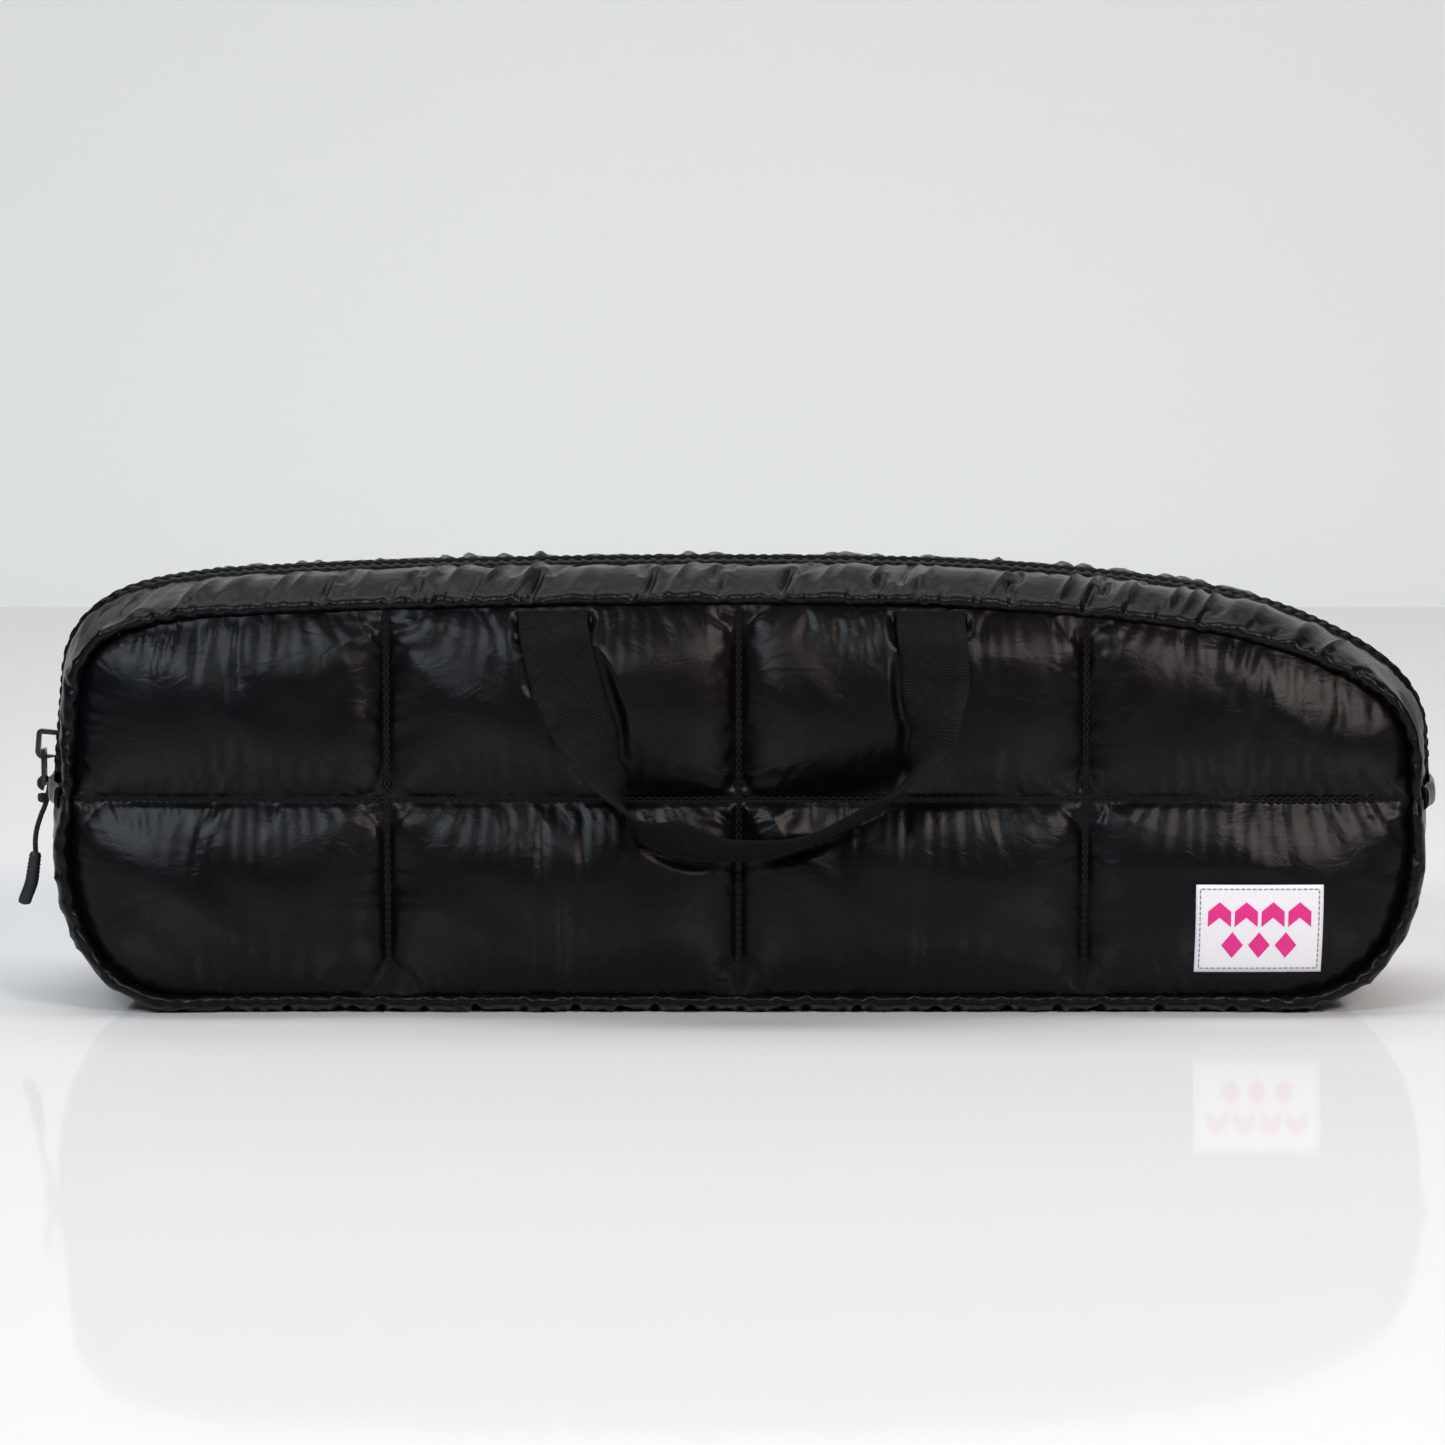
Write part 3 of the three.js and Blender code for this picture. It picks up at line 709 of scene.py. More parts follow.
def label_surface(points, depth, at):
    """A gently curved surface fitted to the panel where the label is sewn, read at the given places."""
    def terms(p):
        u = (p - LABEL_CENTRE) / 30
        x, z = u.T
        return np.stack([np.ones(len(u)), x, z, x**2, z**2, x * z], -1)

    around = (np.abs(points - LABEL_CENTRE) < LABEL_SIZE / 2 + 3).all(1)
    fitted = np.linalg.lstsq(terms(points[around]), depth[around], rcond=None)[0]
    return terms(at) @ fitted


def chain_stitch(path, normal, width=0.95, pitch=2.9, radius=0.4):
    """Two threads that part and meet again at each stitch."""
    path = np.asarray(path)
    s = lengths(path)
    at = np.arange(0, s[-1], pitch / 6)
    points = np.stack([np.interp(at, s, path[:, i]) for i in range(3)], -1)
    tangent = np.gradient(points, axis=0)
    tangent /= np.linalg.norm(tangent, axis=1, keepdims=True)
    across = np.cross(tangent, np.array(normal, float))
    swing = np.abs(np.sin(math.pi * at / pitch))[:, None]
    dip = 0.35 * (1 - swing) * np.array(normal, float)
    parts = [tube(points + across * swing * width * k - dip, radius, 6, start_normal=normal)
             for k in (-1, 1)]
    return merge(parts)


def build_panel(points, quads, depth, name, side):
    verts = np.stack([points[:, 0], -depth, points[:, 1]], -1)
    faces = quads.tolist()
    obj = new_object(name + "_panel", verts, faces, SHELL)
    subdivide(obj, 1)
    fine = get_points(obj)
    flat = fine[:, [0, 2]]
    distance = outline_distance(flat)
    y = stitched_valleys(flat, line_puckers(flat, distance, -fine[:, 1]))
    surface = label_surface(flat, y, flat)
    apart = np.maximum(np.abs(flat - LABEL_CENTRE) - LABEL_SIZE / 2, 0)
    hold = 1 - smooth(np.linalg.norm(apart, axis=1) / 7)
    label_shape = lambda at: label_surface(flat, y, at)
    if side < 0:
        y = y * (1 - hold) + (surface - 0.5) * hold
    y = under_handle(flat, y)
    fine[:, 1] = -y
    if side > 0:
        fine[:, 1] *= -1
        obj.data.flip_normals()
    set_points(obj, fine)
    attach(obj, "shell_cloth", name + "_panel_shell", name + "_panel_wadding")
    return label_shape


def panel_stitches(name, side):
    z_top = lambda x: OUTLINE[(np.abs(OUTLINE[:, 0] - x) < 0.4) & (OUTLINE[:, 1] > 100)][0, 1]
    level = np.abs(OUTLINE[:, 1] - QUILT_Z) < 0.4
    x_end = [OUTLINE[level & (OUTLINE[:, 0] * k > 0)][0, 0] for k in (-1, 1)]
    lines = [[(x, z) for z in np.linspace(BASE_Z + 0.5, z_top(x) - 0.5, 90)] for x in QUILT_X]
    lines.append([(x, QUILT_Z) for x in np.linspace(x_end[0] + 0.5, x_end[1] - 0.5, 240)])
    parts = []
    for line in lines:
        flat = np.array(line)
        depth, _ = panel_rest(flat)
        path = np.stack([flat[:, 0], -depth - 0.45, flat[:, 1]], -1)
        parts.append(chain_stitch(path, (0, -1, 0)))
    part = merge(parts)
    obj = sided(name + "_quilting_stitches", part, side, THREAD)
    attach(obj, "webbing")


def panel_lining(points, quads, name, side):
    """Lining inside the panel: one sheet with a slight billow between the quilting lines."""
    depth = 42.3 - 0.25 * ripple(points[:, 0] / 17, 81) * ripple(points[:, 1] / 21, 82)
    inset = points - (points - np.array([0, 78])) * 0.004
    verts = np.stack([inset[:, 0], side * depth, inset[:, 1]], -1)
    faces = quads if side > 0 else quads[:, ::-1]
    obj = new_object(name + "_panel_lining_cloth", verts, faces.tolist(), LINING)
    thick = obj.modifiers.new("thick", "SOLIDIFY")
    thick.thickness = 0.5 * MM
    thick.offset = 0
    apply_modifiers(obj)
    attach(obj, "lining_cloth", name + "_panel_lining")


# ---- gusset ----
STRIP_PROFILE = [(-46.8, 0.2, 0), (-49.4, 0.5, 0), (-50.6, 2.2, 0), (-49.2, 4.2, 0), (-43.3, 5.4, 0.0),
                 (-30, 0.3, 0.63), (-20, 0.2, 0.75), (-14, -0.2, 0.83), (-9, -2.2, 1)]
BASE_PROFILE = [(-46.8, 0.2, 0), (-49.6, 0.8, 0), (-49.8, 2.8, 0), (-46, 5.0, 0), (-38, 6.6, 0),
                (-20, 1.6, 0.725), (0, -0.3, 1)]
SWELL_SHARE, FOLD_SHARE = 0.22, 0.95  # how much of the simulated swelling and of its folds is kept
HEM = dict(pitch=4.4, height=0.55)


def strip_grid(line, crown, profile, step):
    """Stations, base shape and pins of a gusset strip that is gathered along both long edges."""
    s = np.linspace(0, line.length, round(line.length / step) + 1)
    y, a, b = along_profile(profile, step * 0.95)
    grid = section_ring(line, s, crown, y, a, b)
    pinned = np.zeros(grid.shape[:2], bool)
    pinned[[0, -1]] = True
    pinned[:, [0, -1]] = True
    return s, grid, pinned


def strip_offsets(line, s, grid, moved):
    """Movement of each point along the line, out from it and across it."""
    d = moved - grid
    t, n = line.tangent(s), line.normal(s)
    along = d[..., 0] * t[:, :1] + d[..., 2] * t[:, 1:]
    out = d[..., 0] * n[:, :1] + d[..., 2] * n[:, 1:]
    offsets = np.stack([along, out, d[..., 1]], -1)
    swelling = offsets.mean(0, keepdims=True)
    return swelling * SWELL_SHARE + (offsets - swelling) * FOLD_SHARE


def leaning_folds(grid, line, s, seed, height, lean):
    """Long soft creases that cross the strip at a slant."""
    u = np.linspace(0, 1, grid.shape[1])
    slant = s[:, None] - lean * u[None, :] + 2.5 * ripple(s / 31, seed + 3)[:, None] * u[None, :]
    crest = (1 - np.abs(ripple(slant / 6.5, seed))) ** 3 - 0.35
    strength = 0.55 + 0.45 * ripple(s / 19, seed + 1)
    lift = height * crest * strength[:, None] * np.sin(math.pi * u)[None, :] ** 0.8
    push_out(grid, line, s, lift)
    grid[..., 1] -= 0.5 * lift
    return grid


def refine_strip(line, crown, profile, s, offsets, lean, fine=0.85):
    """The strip on a fine grid, its folds leaning along the line by up to lean at the far edge."""
    fine_s = np.linspace(0, line.length, round(line.length / fine) + 1)
    columns = offsets.shape[1]
    at = np.linspace(0, columns - 1, 2 * columns - 1)
    y, a, b = profile_columns(profile, columns, at)
    base = section_ring(line, fine_s, crown, y, a, b)
    spread = catmull(np.swapaxes(offsets, 0, 1), at)  # columns first
    step = s[1] - s[0]
    result = np.empty((len(fine_s), len(at), 3))
    for c, column in enumerate(spread):
        shift = lean * (at[c] / (columns - 1))
        result[:, c] = catmull(column, (fine_s - shift) / step)
    ends = smooth(fine_s / 6) * smooth((line.length - fine_s) / 6)
    result *= ends[:, None, None]
    t, n = line.tangent(fine_s)[:, None], line.normal(fine_s)[:, None]
    move = np.stack([t[..., 0] * result[..., 0] + n[..., 0] * result[..., 1], result[..., 2],
                     t[..., 1] * result[..., 0] + n[..., 1] * result[..., 1]], -1)
    return fine_s, base + move


def profile_columns(profile, columns, at, crown=13.0):
    points = np.array(profile, float)
    flat = np.stack([points[:, 0], points[:, 1] + points[:, 2] * crown], -1)
    s = lengths(flat)
    where = np.linspace(0, s[-1], columns)
    coarse = np.stack([np.interp(where, s, points[:, i]) for i in range(3)], -1)
    return catmull(coarse, at).T


def seam_puckers(grid, line, s, seed, edges=(0,), reach=5.0, height=0.5):
    """Tiny gathers at a seam, along the strip's own surface direction out from the line."""
    columns = np.arange(grid.shape[1])
    for i, edge in enumerate(edges):
        away = np.abs(columns - edge % grid.shape[1]) * 1.2
        lean = 0.6 * away[None, :] * ripple(s / 25, seed + 5 + i)[:, None]
        wave = ripple((s[:, None] + lean) / 2.4, seed + i)
        wave = wave + 0.6 * ripple((s[:, None] - lean) / 4.3, seed + 9 + i)
        lift = height * wave * (np.exp(-away / reach) * (1 - np.exp(-away / 0.8)))[None, :]
        push_out(grid, line, s, lift)
        grid[..., 1] -= lift * 0.8 * np.exp(-away / 4)[None, :] * (grid[..., 1] < -40)
    return grid


def hem_columns(line, crown, s):
    """The doubled edge beside the zip: puffed between its two rows of stitching, then folded under."""
    rows = [
        (-8.5, -1.75, 0.1), (-8.0, -1.15, 0.7), (-7.3, -0.6, 1), (-6.6, -0.1, 0.8), (-6.1, 0.15, 0.15),
        (-5.6, 0.4, 0.2), (-5.25, 0.2, 0), (-5.3, -0.5, 0), (-6.3, -1.8, 0), (-9, -2.9, 0), (-13, -3.2, 0),
    ]
    puff = np.abs(np.sin(math.pi * (s + 0.5 * ripple(s / 6, 91)) / HEM["pitch"])) ** 0.6
    n, p, c = line.normal(s), line.at(s), crown(s)
    columns = []
    for y, rise, share in rows:
        out = c + rise + HEM["height"] * share * puff
        sway = 0.12 * ripple(s / 5, 92) - 0.3 * share * puff
        columns.append(np.stack([p[:, 0] + n[:, 0] * out, y + sway, p[:, 1] + n[:, 1] * out], -1))
    return np.stack(columns, 1)


def build_strip(name, side, s, grid):
    rows, columns = grid.shape[:2]
    part = grid.reshape(-1, 3), grid_faces(rows, columns, flip=True).tolist()
    obj = sided(name + "_gusset_strip", part, side, SHELL)
    nodes = [f"{name}_gusset_{k}" for k in ("left", "mid", "right")] + [name + "_gusset_rim_mid"]
    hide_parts(*nodes)
    fold(obj)


def fold(obj):
    """Bakes the transform of a piece of the mouth strip into its mesh."""
    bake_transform(obj)


def running_stitches(line, crown, s0, s1, y, out, pitch, length, radius=0.3):
    """A row of separate stitches, each sunk at its ends."""
    parts = []
    k = np.linspace(-0.5, 0.5, 7)
    sink = -0.35 * (2 * np.abs(k)) ** 4
    for middle in np.arange(s0 + pitch, s1 - pitch, pitch):
        s = middle + k * length
        p, n = line.at(s), line.normal(s)
        o = crown(s) + out + sink
        parts.append(tube(np.stack([p[:, 0] + n[:, 0] * o, np.full(7, y), p[:, 1] + n[:, 1] * o], -1),
                          radius * (1 - 0.3 * (2 * np.abs(k)) ** 6), 6))
    return merge(parts)


def hem_stitches(name, side):
    parts = [running_stitches(ZIP_LINE, zip_crown, 4, ZIP_LINE.length - 4, y, out, HEM["pitch"], 3.3)
             for y, out in ((-8.95, -1.8), (-6.2, 0.5))]
    part = merge(parts)
    obj = sided(name + "_hem_stitches", part, side, THREAD)
    fold(obj)


def strip_lining(name, side):
    section = [(-41.5, 2.6, 0), (-36, -0.1, 0.37), (-30, -2.8, 0.78), (-22, -2.8, 0.87), (-14, -2.8, 0.945),
               (-14, -3.4, 0.945), (-22, -3.4, 0.87), (-30, -3.4, 0.78), (-36.2, -0.8, 0.37), (-41.5, 1.9, 0)]
    s = np.linspace(0.3, ZIP_LINE.length - 0.3, 420)
    part = skin(ZIP_LINE, zip_crown, section, s, waves=0.25, seed=95)
    obj = sided(name + "_gusset_lining_cloth", part, side, LINING)
    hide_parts(*(f"{name}_gusset_lining_{k}" for k in ("left", "mid", "right")))
    fold(obj)


def build_base(grid):
    """The gusset under the bag: the simulated front half and its mirror image."""
    half = grid
    other = half[:, ::-1][:, 1:] * (1, -1, 1)
    whole = np.concatenate([half, other], 1)
    whole[..., 2] = np.maximum(whole[..., 2], 0.0)
    rows, columns = whole.shape[:2]
    faces = grid_faces(rows, columns, flip=True).tolist()
    obj = new_object("base_gusset_skin", whole.reshape(-1, 3), faces, SHELL)
    attach(obj, "shell_cloth", "base_gusset_left", "base_gusset_mid", "base_gusset_right",
           "base_gusset_wadding")


def base_lining():
    half = [(-41.3, 0.2, 0), (-37.5, 0.2, 0), (-29, -2.6, 0.4), (-20, -4.9, 0.725), (-10, -6, 0.9),
            (0, -6.8, 1)]
    upper = half + [(-y, a, b) for y, a, b in half[-2::-1]]
    lower = [(y, a - 0.6, b) for y, a, b in upper[::-1]]
    s = np.linspace(0.3, BASE_LINE.length - 0.3, 400)
    part = skin(BASE_LINE, base_crown, upper + lower, s, waves=0.2, seed=97)
    obj = new_object("base_lining_cloth", *part, LINING)
    attach(obj, "lining_cloth", "base_gusset_lining")


def seam_binding(name, side):
    """Bound raw edge of the panel seam, inside the bag."""
    ring = [(41.45, -1.2), (41.3, -0.95), (40.0, -0.95), (39.75, -1.3),
            (39.75, -7.6), (40.0, -7.95), (41.3, -7.95), (41.45, -7.6)]
    step = 3
    p = OUTLINE[::step]
    t = np.roll(p, -1, 0) - np.roll(p, 1, 0)
    t /= np.linalg.norm(t, axis=1, keepdims=True)
    n = np.stack([-t[:, 1], t[:, 0]], -1)
    along = OUTLINE_LENGTH[:-1][::step]
    wobble = 0.12 * ripple(along / 8, 99)
    columns = []
    for y, out in ring:
        x, z = (p + n * (out + wobble)[:, None]).T
        columns.append(np.stack([x, np.full(len(p), side * y), z], -1))
    grid = np.stack(columns, 1)
    faces = ring_faces(*grid.shape[:2], capped=False)
    if side < 0:
        faces = [f[::-1] for f in faces]
    obj = new_object(name + "_seam_tape", grid.reshape(-1, 3), faces, BINDING)
    attach(obj, "webbing", name + "_seam_binding")


# ---- zip ----
TOOTH_PITCH = 1.5


def zip_tape(name, side):
    section = [(-13.2, -2.9, 0.955), (-9, -2.75, 0.98), (-5.5, -2.65, 1), (-3.5, -2.6, 1), (-3.5, -3.2, 1),
               (-5.5, -3.25, 1), (-9, -3.35, 0.98), (-13.2, -3.5, 0.955)]
    part = skin(ZIP_LINE, zip_crown, section, np.linspace(0.3, ZIP_LINE.length - 0.3, 400))
    obj = sided(name + "_zip_tape_cloth", part, side, TAPE)
    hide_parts(*(f"{name}_zip_tape_{k}" for k in ("left", "mid", "right")))
    fold(obj)


def zip_coil(name, side):
    """One half of the coil: a slanting loop for each tooth, with its bulge at the middle of the zip."""
    parts = []
    shift = 0.0 if side < 0 else TOOTH_PITCH / 2
    loop = np.array([(-3.3, -3.5), (-2.9, -2.2), (-1.6, -1.75), (-0.6, -1.8), (-0.1, -2.5), (-0.2, -3.3),
                     (-1.2, -3.85), (-2.6, -3.9)])
    width = np.array([0.4, 0.42, 0.42, 0.48, 0.55, 0.48, 0.42, 0.4])
    slant = np.linspace(-0.3, 0.3, len(loop))
    for middle in np.arange(6.6 + shift, ZIP_LINE.length - 8.4, TOOTH_PITCH):
        s = middle + slant
        p, n = ZIP_LINE.at(s), ZIP_LINE.normal(s)
        out = zip_crown(s) + loop[:, 1]
        points = np.stack([p[:, 0] + n[:, 0] * out, loop[:, 0], p[:, 1] + n[:, 1] * out], -1)
        parts.append(tube(points, width, 5, start_normal=(ZIP_LINE.tangent(middle)[0], 0.01,
                                                        ZIP_LINE.tangent(middle)[1])))
    part = merge(parts)
    obj = sided(name + "_zip_teeth", part, side, COIL)
    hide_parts(*(f"{name}_zip_coil_{k}" for k in ("left", "mid", "right")))
    fold(obj)


def coil_thread(name, side):
    """Stitching that holds the coil to its tape."""
    part = running_stitches(ZIP_LINE, zip_crown, 6, ZIP_LINE.length - 8, -3.6, -2.1, 1.5, 1.1, 0.22)
    obj = sided(name + "_coil_stitches", part, side, THREAD)
    fold(obj)


def rounded_copy(node, material, bevel, body, slot_name):
    """A CAD casting with its edges rounded."""
    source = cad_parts[node]
    obj = bpy.data.objects.new(node + "_rounded", source.data.copy())
    obj.data.transform(source.matrix_world)
    bpy.context.scene.collection.objects.link(obj)
    obj.data.materials.clear()
    obj.data.materials.append(material)
    weld = obj.modifiers.new("weld", "WELD")
    weld.merge_threshold = 0.00001
    fuller = obj.modifiers.new("fuller", "DISPLACE")
    fuller.strength = 0.15 * MM
    fuller.mid_level = 0
    round_edges = obj.modifiers.new("round", "BEVEL")
    round_edges.width = bevel * MM
    round_edges.segments = 3
    round_edges.limit_method = "ANGLE"
    round_edges.angle_limit = math.radians(40)
    apply_modifiers(obj)
    obj.data.polygons.foreach_set("use_smooth", [False] * len(obj.data.polygons))
    bpy.context.view_layer.objects.active = obj
    obj.data.set_sharp_from_angle(angle=math.radians(35))
    obj.data.polygons.foreach_set("use_smooth", [True] * len(obj.data.polygons))
    return attach(obj, slot_name, node, body=body)


# ---- pull cord, knot and grip ----
CORD_RADIUS = 1.0
CORD_TURN = 2.0  # radius of the cord's middle where it goes round the bar
PULL_EYE = np.array([-264.653, 0.0, 80.598])  # the middle of the tab's lower bar
PULL_LEAN = 0.145


def pull_frame():
    """The direction in which the cord hangs, and the one across it."""
    down = np.array([-PULL_LEAN, 0, -1]) / math.hypot(PULL_LEAN, 1)
    return down, np.array([-down[2], 0, down[0]])


def cord_path():
    """Three quarters of a turn round the tab's lower bar, then down to the grip in a slight S."""
    down, across = pull_frame()
    angle = np.radians(np.linspace(270, 15, 18))[:, None]
    turn = CORD_TURN * (np.cos(angle) * across - np.sin(angle) * down)
    turn[:, 1] = np.linspace(0.25, 0, 18)
    s = np.linspace(0, 27, 22)[:, None]
    sway = CORD_TURN * (1 - smooth(s / 13)) + 0.8 * np.sin(s / 27 * 2 * math.pi) * smooth(s / 10)
    return PULL_EYE + np.concatenate([turn, s * down + sway * across])


def smooth_path(points, count):
    return catmull(points, np.linspace(0, len(points) - 1, count))


def build_pull():
    path = smooth_path(cord_path(), 150)
    length = lengths(path)
    sides = 12
    part = tube(path, CORD_RADIUS * (1 + 0.04 * np.sin(length * 4)), sides)
    cord = new_object("pull_cord_braid", *part, CORD)
    angle = np.arange(sides) / sides * 2 * math.pi * CORD_RADIUS * MM
    twist = length[:, None] * MM
    set_uv(cord, np.stack([angle[None] + twist, angle[None] - twist], -1).reshape(-1, 2))
    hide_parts("pull_cord")
    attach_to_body(cord, "pull")
    knot, grip = build_knot(), build_grip()


def build_knot():
    """Three wraps of the cord round itself below the tab."""
    t = np.linspace(0, 3 * 2 * math.pi, 90)
    down, side = pull_frame()
    s = 4.4 + 2.6 * t / t[-1]
    radius = 1.35 + 0.15 * np.sin(t * 0.7)
    points = PULL_EYE + s[:, None] * down + (radius * np.cos(t))[:, None] * side
    points[:, 1] += radius * np.sin(t)
    part = tube(points, 0.62, 8, start_normal=down)
    obj = new_object("pull_knot", *part, CORD)
    set_uv(obj, np.repeat(np.stack([t * 0.0013, -t * 0.0013], -1), 8, 0))
    return attach(obj, "cord", "cord_knot", body="pull")


def build_grip():
    """Moulded grip: narrow neck with ridges, broad flat toe that curves towards the end of the bag."""
    down, side = pull_frame()
    u = np.linspace(0, 1, 40)
    s = 26.6 + 21 * u
    curve = -1.8 * smooth((u - 0.45) / 0.55) ** 1.3
    rounded = np.sqrt(np.clip(1 - (np.abs(u - 0.5) / 0.503) ** 22, 0, 1))
    half_width = (2.25 + 0.3 * smooth(u / 0.6)) * rounded
    half_thick = (1.9 - 0.5 * smooth((u - 0.5) / 0.5)) * rounded
    ridge = 1 + 0.09 * np.sin(u * 2 * math.pi * 14) * (smooth(u / 0.1) * smooth((0.5 - u) / 0.1))
    angle = np.linspace(0, 2 * math.pi, 20, endpoint=False)
    square = lambda v: np.sign(v) * np.abs(v) ** 0.8
    centre = PULL_EYE + s[:, None] * down - curve[:, None] * side * np.sign(-side[0])
    wide = (half_width * ridge)[:, None, None] * square(np.cos(angle))[None, :, None]
    grid = centre[:, None] + wide * side
    grid[..., 1] += (half_thick * ridge)[:, None] * square(np.sin(angle))[None, :]
    obj = new_object("pull_grip", grid.reshape(-1, 3), ring_faces(*grid.shape[:2]), GRIP)
    return attach(obj, "grip", "cord_grip", body="pull")


# ---- end tabs ----
END_TAB = [(-44, 6.2, 0), (-38, 7.4, 0), (-30, 0.6, 0.78), (-15, 0.6, 0.95), (0, 0.6, 1)]


def end_tab(name, stations, seed):
    """A folded strip of shell cloth over the zip's end; stations are (line, crown, length along it)."""
    half = np.array(along_profile(END_TAB, 1.5)).T
    y, a, b = np.concatenate([half, half[-2::-1] * (-1, 1, 1)]).T
    rows = [section_ring(line, np.array([s]), crown, y, a, b)[0] for line, crown, s in stations]
    base = np.array(rows)
    count = 15
    grid = catmull(base, np.linspace(0, len(base) - 1, count))
    line, _, s = stations[1]
    n = line.normal(np.array([s]))[0]
    lift = 1.5 * (1 - np.linspace(-1, 1, count) ** 4)[:, None]
    lift = lift + 0.18 * ripple(np.arange(len(y))[None] / 2.2, seed) - 0.3
    grid[..., 0] += n[0] * lift
    grid[..., 2] += n[1] * lift
    under = grid.copy()
    under[..., 0] -= n[0] * (lift + 0.9)
    under[..., 2] -= n[1] * (lift + 0.9)
    ring = np.concatenate([grid, under[::-1]], 0)
    ring = np.swapaxes(ring, 0, 1)
    obj = new_object(name + "_cloth", ring.reshape(-1, 3), ring_faces(*ring.shape[:2]), SHELL)
    fix_normals(obj)
    attach(obj, "shell_cloth", name)


def fix_normals(obj):
    """Turns every face of a closed mesh outwards."""
    mesh = bmesh.new()
    mesh.from_mesh(obj.data)
    bmesh.ops.recalc_face_normals(mesh, faces=mesh.faces)
    mesh.to_mesh(obj.data)
    mesh.free()


# ---- label ----
def build_label(surface):
    """Woven ribbon sewn flat: border stitches and a generic motif of chevrons and diamonds."""
    across, up = (np.linspace(-0.5, 0.5, n) for n in (32, 24))
    def on_label(u, v, lift):
        at = LABEL_CENTRE + np.stack([u * LABEL_SIZE[0], v * LABEL_SIZE[1]], -1).reshape(-1, 2)
        return np.stack([at[:, 0], -surface(at) - lift, at[:, 1]], -1)

    u, v = np.meshgrid(across, up, indexing="ij")
    front = on_label(u, v, 0.55)
    edge = (np.abs(u) > 0.49) | (np.abs(v) > 0.49)
    front[edge.ravel(), 1] += 0.25
    verts = np.concatenate([front, on_label(u, v, 0.0)])
    count = len(front)
    quads = grid_faces(len(across), len(up))
    loop = boundary_loop(quads)
    faces = quads.tolist() + (quads[:, ::-1] + count).tolist()
    faces += [(b, a, a + count, b + count) for a, b in zip(loop.tolist(), np.roll(loop, -1).tolist())]
    label = new_object("woven_label", verts, faces, LABEL)
    fix_normals(label)
    uv = np.stack([u.ravel() * LABEL_SIZE[0], v.ravel() * LABEL_SIZE[1]], -1) * MM
    set_uv(label, np.concatenate([uv, uv]))
    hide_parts("label")
    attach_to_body(label, "bag")
    stitches = label_stitches(on_label)
    motif = label_motif(on_label)


def label_stitches(on_label):
    """A border of separate stitches just inside the ribbon's edge."""
    parts = []
    half = 0.5 - np.array([1.6, 1.6]) / LABEL_SIZE
    corners = [half * turn for turn in ((-1, -1), (1, -1), (1, 1), (-1, 1))]
    height = np.array([0.5, 0.68, 0.76, 0.68, 0.5])
    for a, b in zip(corners, corners[1:] + corners[:1]):
        reach = np.linalg.norm((b - a) * LABEL_SIZE)
        number = round(reach / 2.1)
        for i in range(number):
            t = (i + 0.5 + 0.33 * np.linspace(-1, 1, 5)) / number
            point = a + (b - a) * t[:, None]
            parts.append(tube(on_label(point[:, 0], point[:, 1], height), 0.24, 6))
    obj = new_object("label_stitches", *merge(parts), PALE_THREAD)
    return attach(obj, "label_cloth")


def label_motif(on_label):
    """Two rows of embroidered shapes, each a thin raised pad of thread."""
    chevron = [(-0.5, -0.5), (0, -0.12), (0.5, -0.5), (0.5, 0.12), (0, 0.5), (-0.5, 0.12)]
    diamond = [(0, -0.5), (0.5, 0), (0, 0.5), (-0.5, 0)]
    shapes = [(chevron, x, 0.17, 0.18, 0.28) for x in (-0.315, -0.105, 0.105, 0.315)]
    shapes += [(diamond, x, -0.18, 0.17, 0.3) for x in (-0.21, 0.0, 0.21)]
    parts = []
    for shape, x, z, w, h in shapes:
        outline = dense(np.array(shape) * (w, h) + (x, z), 7)
        inner = (outline - (x, z)) * 0.9 + (x, z)
        rings = [(outline, 0.5), (outline, 0.74), (inner, 0.86)]
        verts = np.concatenate([on_label(r[:, 0], r[:, 1], lift) for r, lift in rings])
        n = len(outline)
        faces = [(k * n + i, k * n + (i + 1) % n, (k + 1) * n + (i + 1) % n, (k + 1) * n + i)
                 for k in range(2) for i in range(n)]
        faces.append(tuple(range(2 * n, 3 * n)))
        faces.append(tuple(range(n))[::-1])
        parts.append((verts, faces))
    obj = new_object("label_motif", *merge(parts), PINK, smooth_shading=False)
    fix_normals(obj)
    return attach(obj, "label_cloth")


def dense(corners, count):
    """More points along each side of a closed outline."""
    sides = zip(corners, np.roll(corners, -1, axis=0))
    return np.concatenate([np.linspace(a, b, count, endpoint=False) for a, b in sides])


# ---- stage ----
FLOOR_FRONT, WALL_Y = -1400, 1500
STAGE_HALF_WIDTH, WALL_TOP, WALL_BEND = 4000, 4000, 500
FLOOR_DROP = 0.2
WORLD_STRENGTH = 0.08


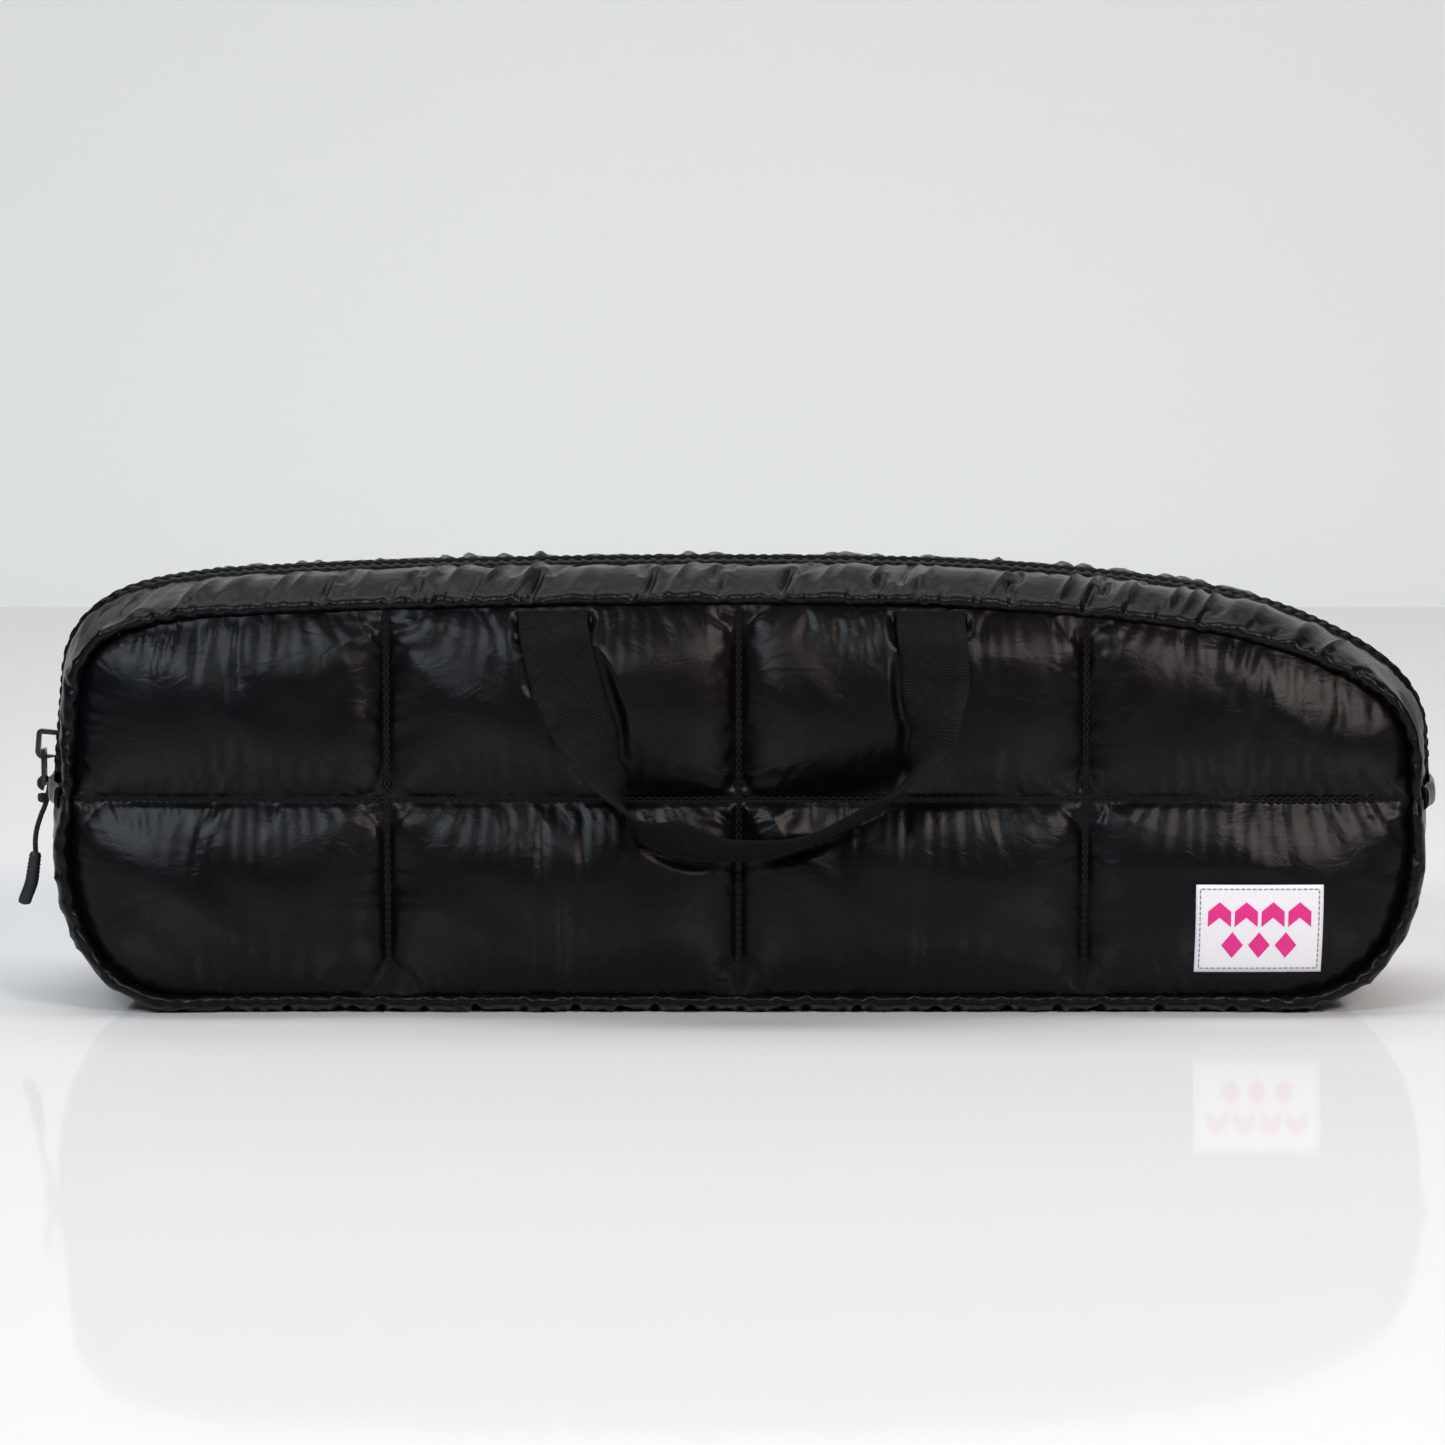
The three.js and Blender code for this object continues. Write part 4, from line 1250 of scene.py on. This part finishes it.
def floor_and_backdrop():
    """A polished pale floor, and a matt wall that curves up from it."""
    polished = Shader("floor", (0.9, 0.905, 0.91), 0.5)
    gloss = polished.node("BsdfGlossy", Roughness=0.06, Color=(1, 1, 1, 1))
    plain = polished.node("BsdfDiffuse", Color=(0.72, 0.72, 0.72, 1))
    mixed = polished.node("MixShader", Fac=0.12)
    polished.tree.links.new(plain.outputs[0], mixed.inputs[1])
    polished.tree.links.new(gloss.outputs[0], mixed.inputs[2])
    polished.tree.links.new(mixed.outputs[0], polished.tree.nodes["Material Output"].inputs["Surface"])
    polished.tree.nodes.remove(polished.bsdf)
    wall = Shader("backdrop", (0.80, 0.815, 0.81), 0.9, Specular_IOR_Level=0.0)
    angle = np.linspace(0, math.pi / 2, 24)
    curve = np.stack([WALL_Y + WALL_BEND * np.sin(angle), WALL_BEND - WALL_BEND * np.cos(angle)], -1)
    for name, profile, material in (
        ("floor", np.array([(FLOOR_FRONT, 0), (WALL_Y, 0)]), polished.material),
        ("backdrop", np.concatenate([curve, [(WALL_Y + WALL_BEND, WALL_TOP)]]), wall.material),
    ):
        verts = np.array([(x, y, z - FLOOR_DROP) for x in (-STAGE_HALF_WIDTH, STAGE_HALF_WIDTH)
                          for y, z in profile])
        new_object(name, verts, grid_faces(2, len(profile), flip=True).tolist(), material)


def area_light(name, position, target, size, power, colour):
    data = bpy.data.lights.new(name, "AREA")
    data.shape = "RECTANGLE"
    data.size, data.size_y = size
    data.energy = power
    data.color = colour
    obj = bpy.data.objects.new(name, data)
    obj.location = position
    obj.rotation_euler = (Vector(target) - Vector(position)).to_track_quat("-Z", "Y").to_euler()
    bpy.context.scene.collection.objects.link(obj)


def lights():
    area_light("overhead", (0.0, -0.1, 1.9), (0, 0.1, 0), (2.6, 0.5), 20, (0.95, 0.98, 1.0))
    area_light("front_left", (-0.9, -1.7, 1.35), (-0.1, 0, 0.1), (0.8, 0.4), 24, (0.80, 0.91, 1.0))
    area_light("front_right", (1.0, -1.7, 1.25), (0.1, 0, 0.1), (0.7, 0.4), 27, (1.0, 0.87, 0.81))
    area_light("backdrop", (0.0, 0.9, 2.6), (0, 1.9, 0.5), (3.0, 1.0), 25, (1, 1, 1))
    world = bpy.data.worlds.new("world")
    world.use_nodes = True
    world.node_tree.nodes["Background"].inputs["Color"].default_value = (0.9, 0.92, 0.94, 1)
    world.node_tree.nodes["Background"].inputs["Strength"].default_value = WORLD_STRENGTH
    bpy.context.scene.world = world
    bpy.context.scene.view_settings.view_transform = "Standard"


# ---- build ----
STRIP_STEP, BASE_STEP = 2.5, 2.7
PUFF_SHARE = 0.8  # how much of the simulated puff the panels keep
PUCKER_HEIGHT = 0.7
TAB_REACH, TAB_TURN = 3.6, 4.4  # how far an end tab covers the zip and the lower gusset


def main():
    build_pull()
    points, quads, pinned = panel_grid(PANEL_STEP)
    rest, distance = panel_rest(points)
    strip_s, strip, strip_pins = strip_grid(ZIP_LINE, zip_crown, STRIP_PROFILE, STRIP_STEP)
    base_s, base, base_pins = strip_grid(BASE_LINE, base_crown, BASE_PROFILE, BASE_STEP)
    flat_verts = np.stack([points[:, 0], -rest, points[:, 1]], -1)
    islands = [(flat_verts, quads, pinned)]
    for grid, pins in ((strip, strip_pins), (base, base_pins)):
        rows, columns = grid.shape[:2]
        islands.append((grid.reshape(-1, 3), grid_faces(rows, columns, flip=True), pins.ravel()))
    panel, strip_moved, base_moved = inflate(islands)
    depth = rest + PUFF_SHARE * (-panel[:, 1] - rest)
    flat = panel[:, [0, 2]]
    strip_moved, base_moved = strip_moved.reshape(strip.shape), base_moved.reshape(base.shape)
    strip_offset = strip_offsets(ZIP_LINE, strip_s, strip, strip_moved)
    base_offset = strip_offsets(BASE_LINE, base_s, base, base_moved)
    fine_s, fine = refine_strip(ZIP_LINE, zip_crown, STRIP_PROFILE, strip_s, strip_offset, 9.0)
    fine = seam_puckers(fine, ZIP_LINE, fine_s, 110, edges=(0, -1), height=PUCKER_HEIGHT)
    fine = leaning_folds(fine, ZIP_LINE, fine_s, 120, 3.0, 16.0)
    strip_full = np.concatenate([fine, hem_columns(ZIP_LINE, zip_crown, fine_s)], 1)
    base_fine_s, base_fine = refine_strip(
        BASE_LINE, base_crown, BASE_PROFILE, base_s, base_offset, 0.0, 1.1)
    base_fine = seam_puckers(base_fine, BASE_LINE, base_fine_s, 130, height=PUCKER_HEIGHT)
    base_fine = leaning_folds(base_fine, BASE_LINE, base_fine_s, 135, 2.2, 14.0)
    for name, side in (("front", -1), ("back", 1)):
        shape = build_panel(flat, quads, depth, name, side)
        if side < 0:
            build_label(shape)
        panel_stitches(name, side)
        panel_lining(points, quads, name, side)
        build_strip(name, side, fine_s, strip_full)
        hem_stitches(name, side)
        strip_lining(name, side)
        seam_binding(name, side)
        zip_tape(name, side)
        zip_coil(name, side)
        coil_thread(name, side)
        webbing_handle(name, side)
        rounded_copy(name + "_top_stop", METAL, 0.3, "bag", "zip_metal")
    build_base(base_fine)
    base_lining()
    end_tab("end_tab_left", [(BASE_LINE, base_crown, BASE_LINE.length - TAB_TURN),
                             (ZIP_LINE, zip_crown, 0.0), (ZIP_LINE, zip_crown, TAB_REACH)], 141)
    end_tab("end_tab_right", [(ZIP_LINE, zip_crown, ZIP_LINE.length - TAB_REACH),
                              (BASE_LINE, base_crown, 0.0), (BASE_LINE, base_crown, TAB_TURN)], 142)
    rounded_copy("bottom_stop", METAL, 0.3, "bag", "zip_metal")
    rounded_copy("slider_body", METAL, 0.3, "slider", "zip_metal")
    rounded_copy("puller_tab", METAL, 0.25, "puller", "zip_metal")
    floor_and_backdrop()
    lights()


main()
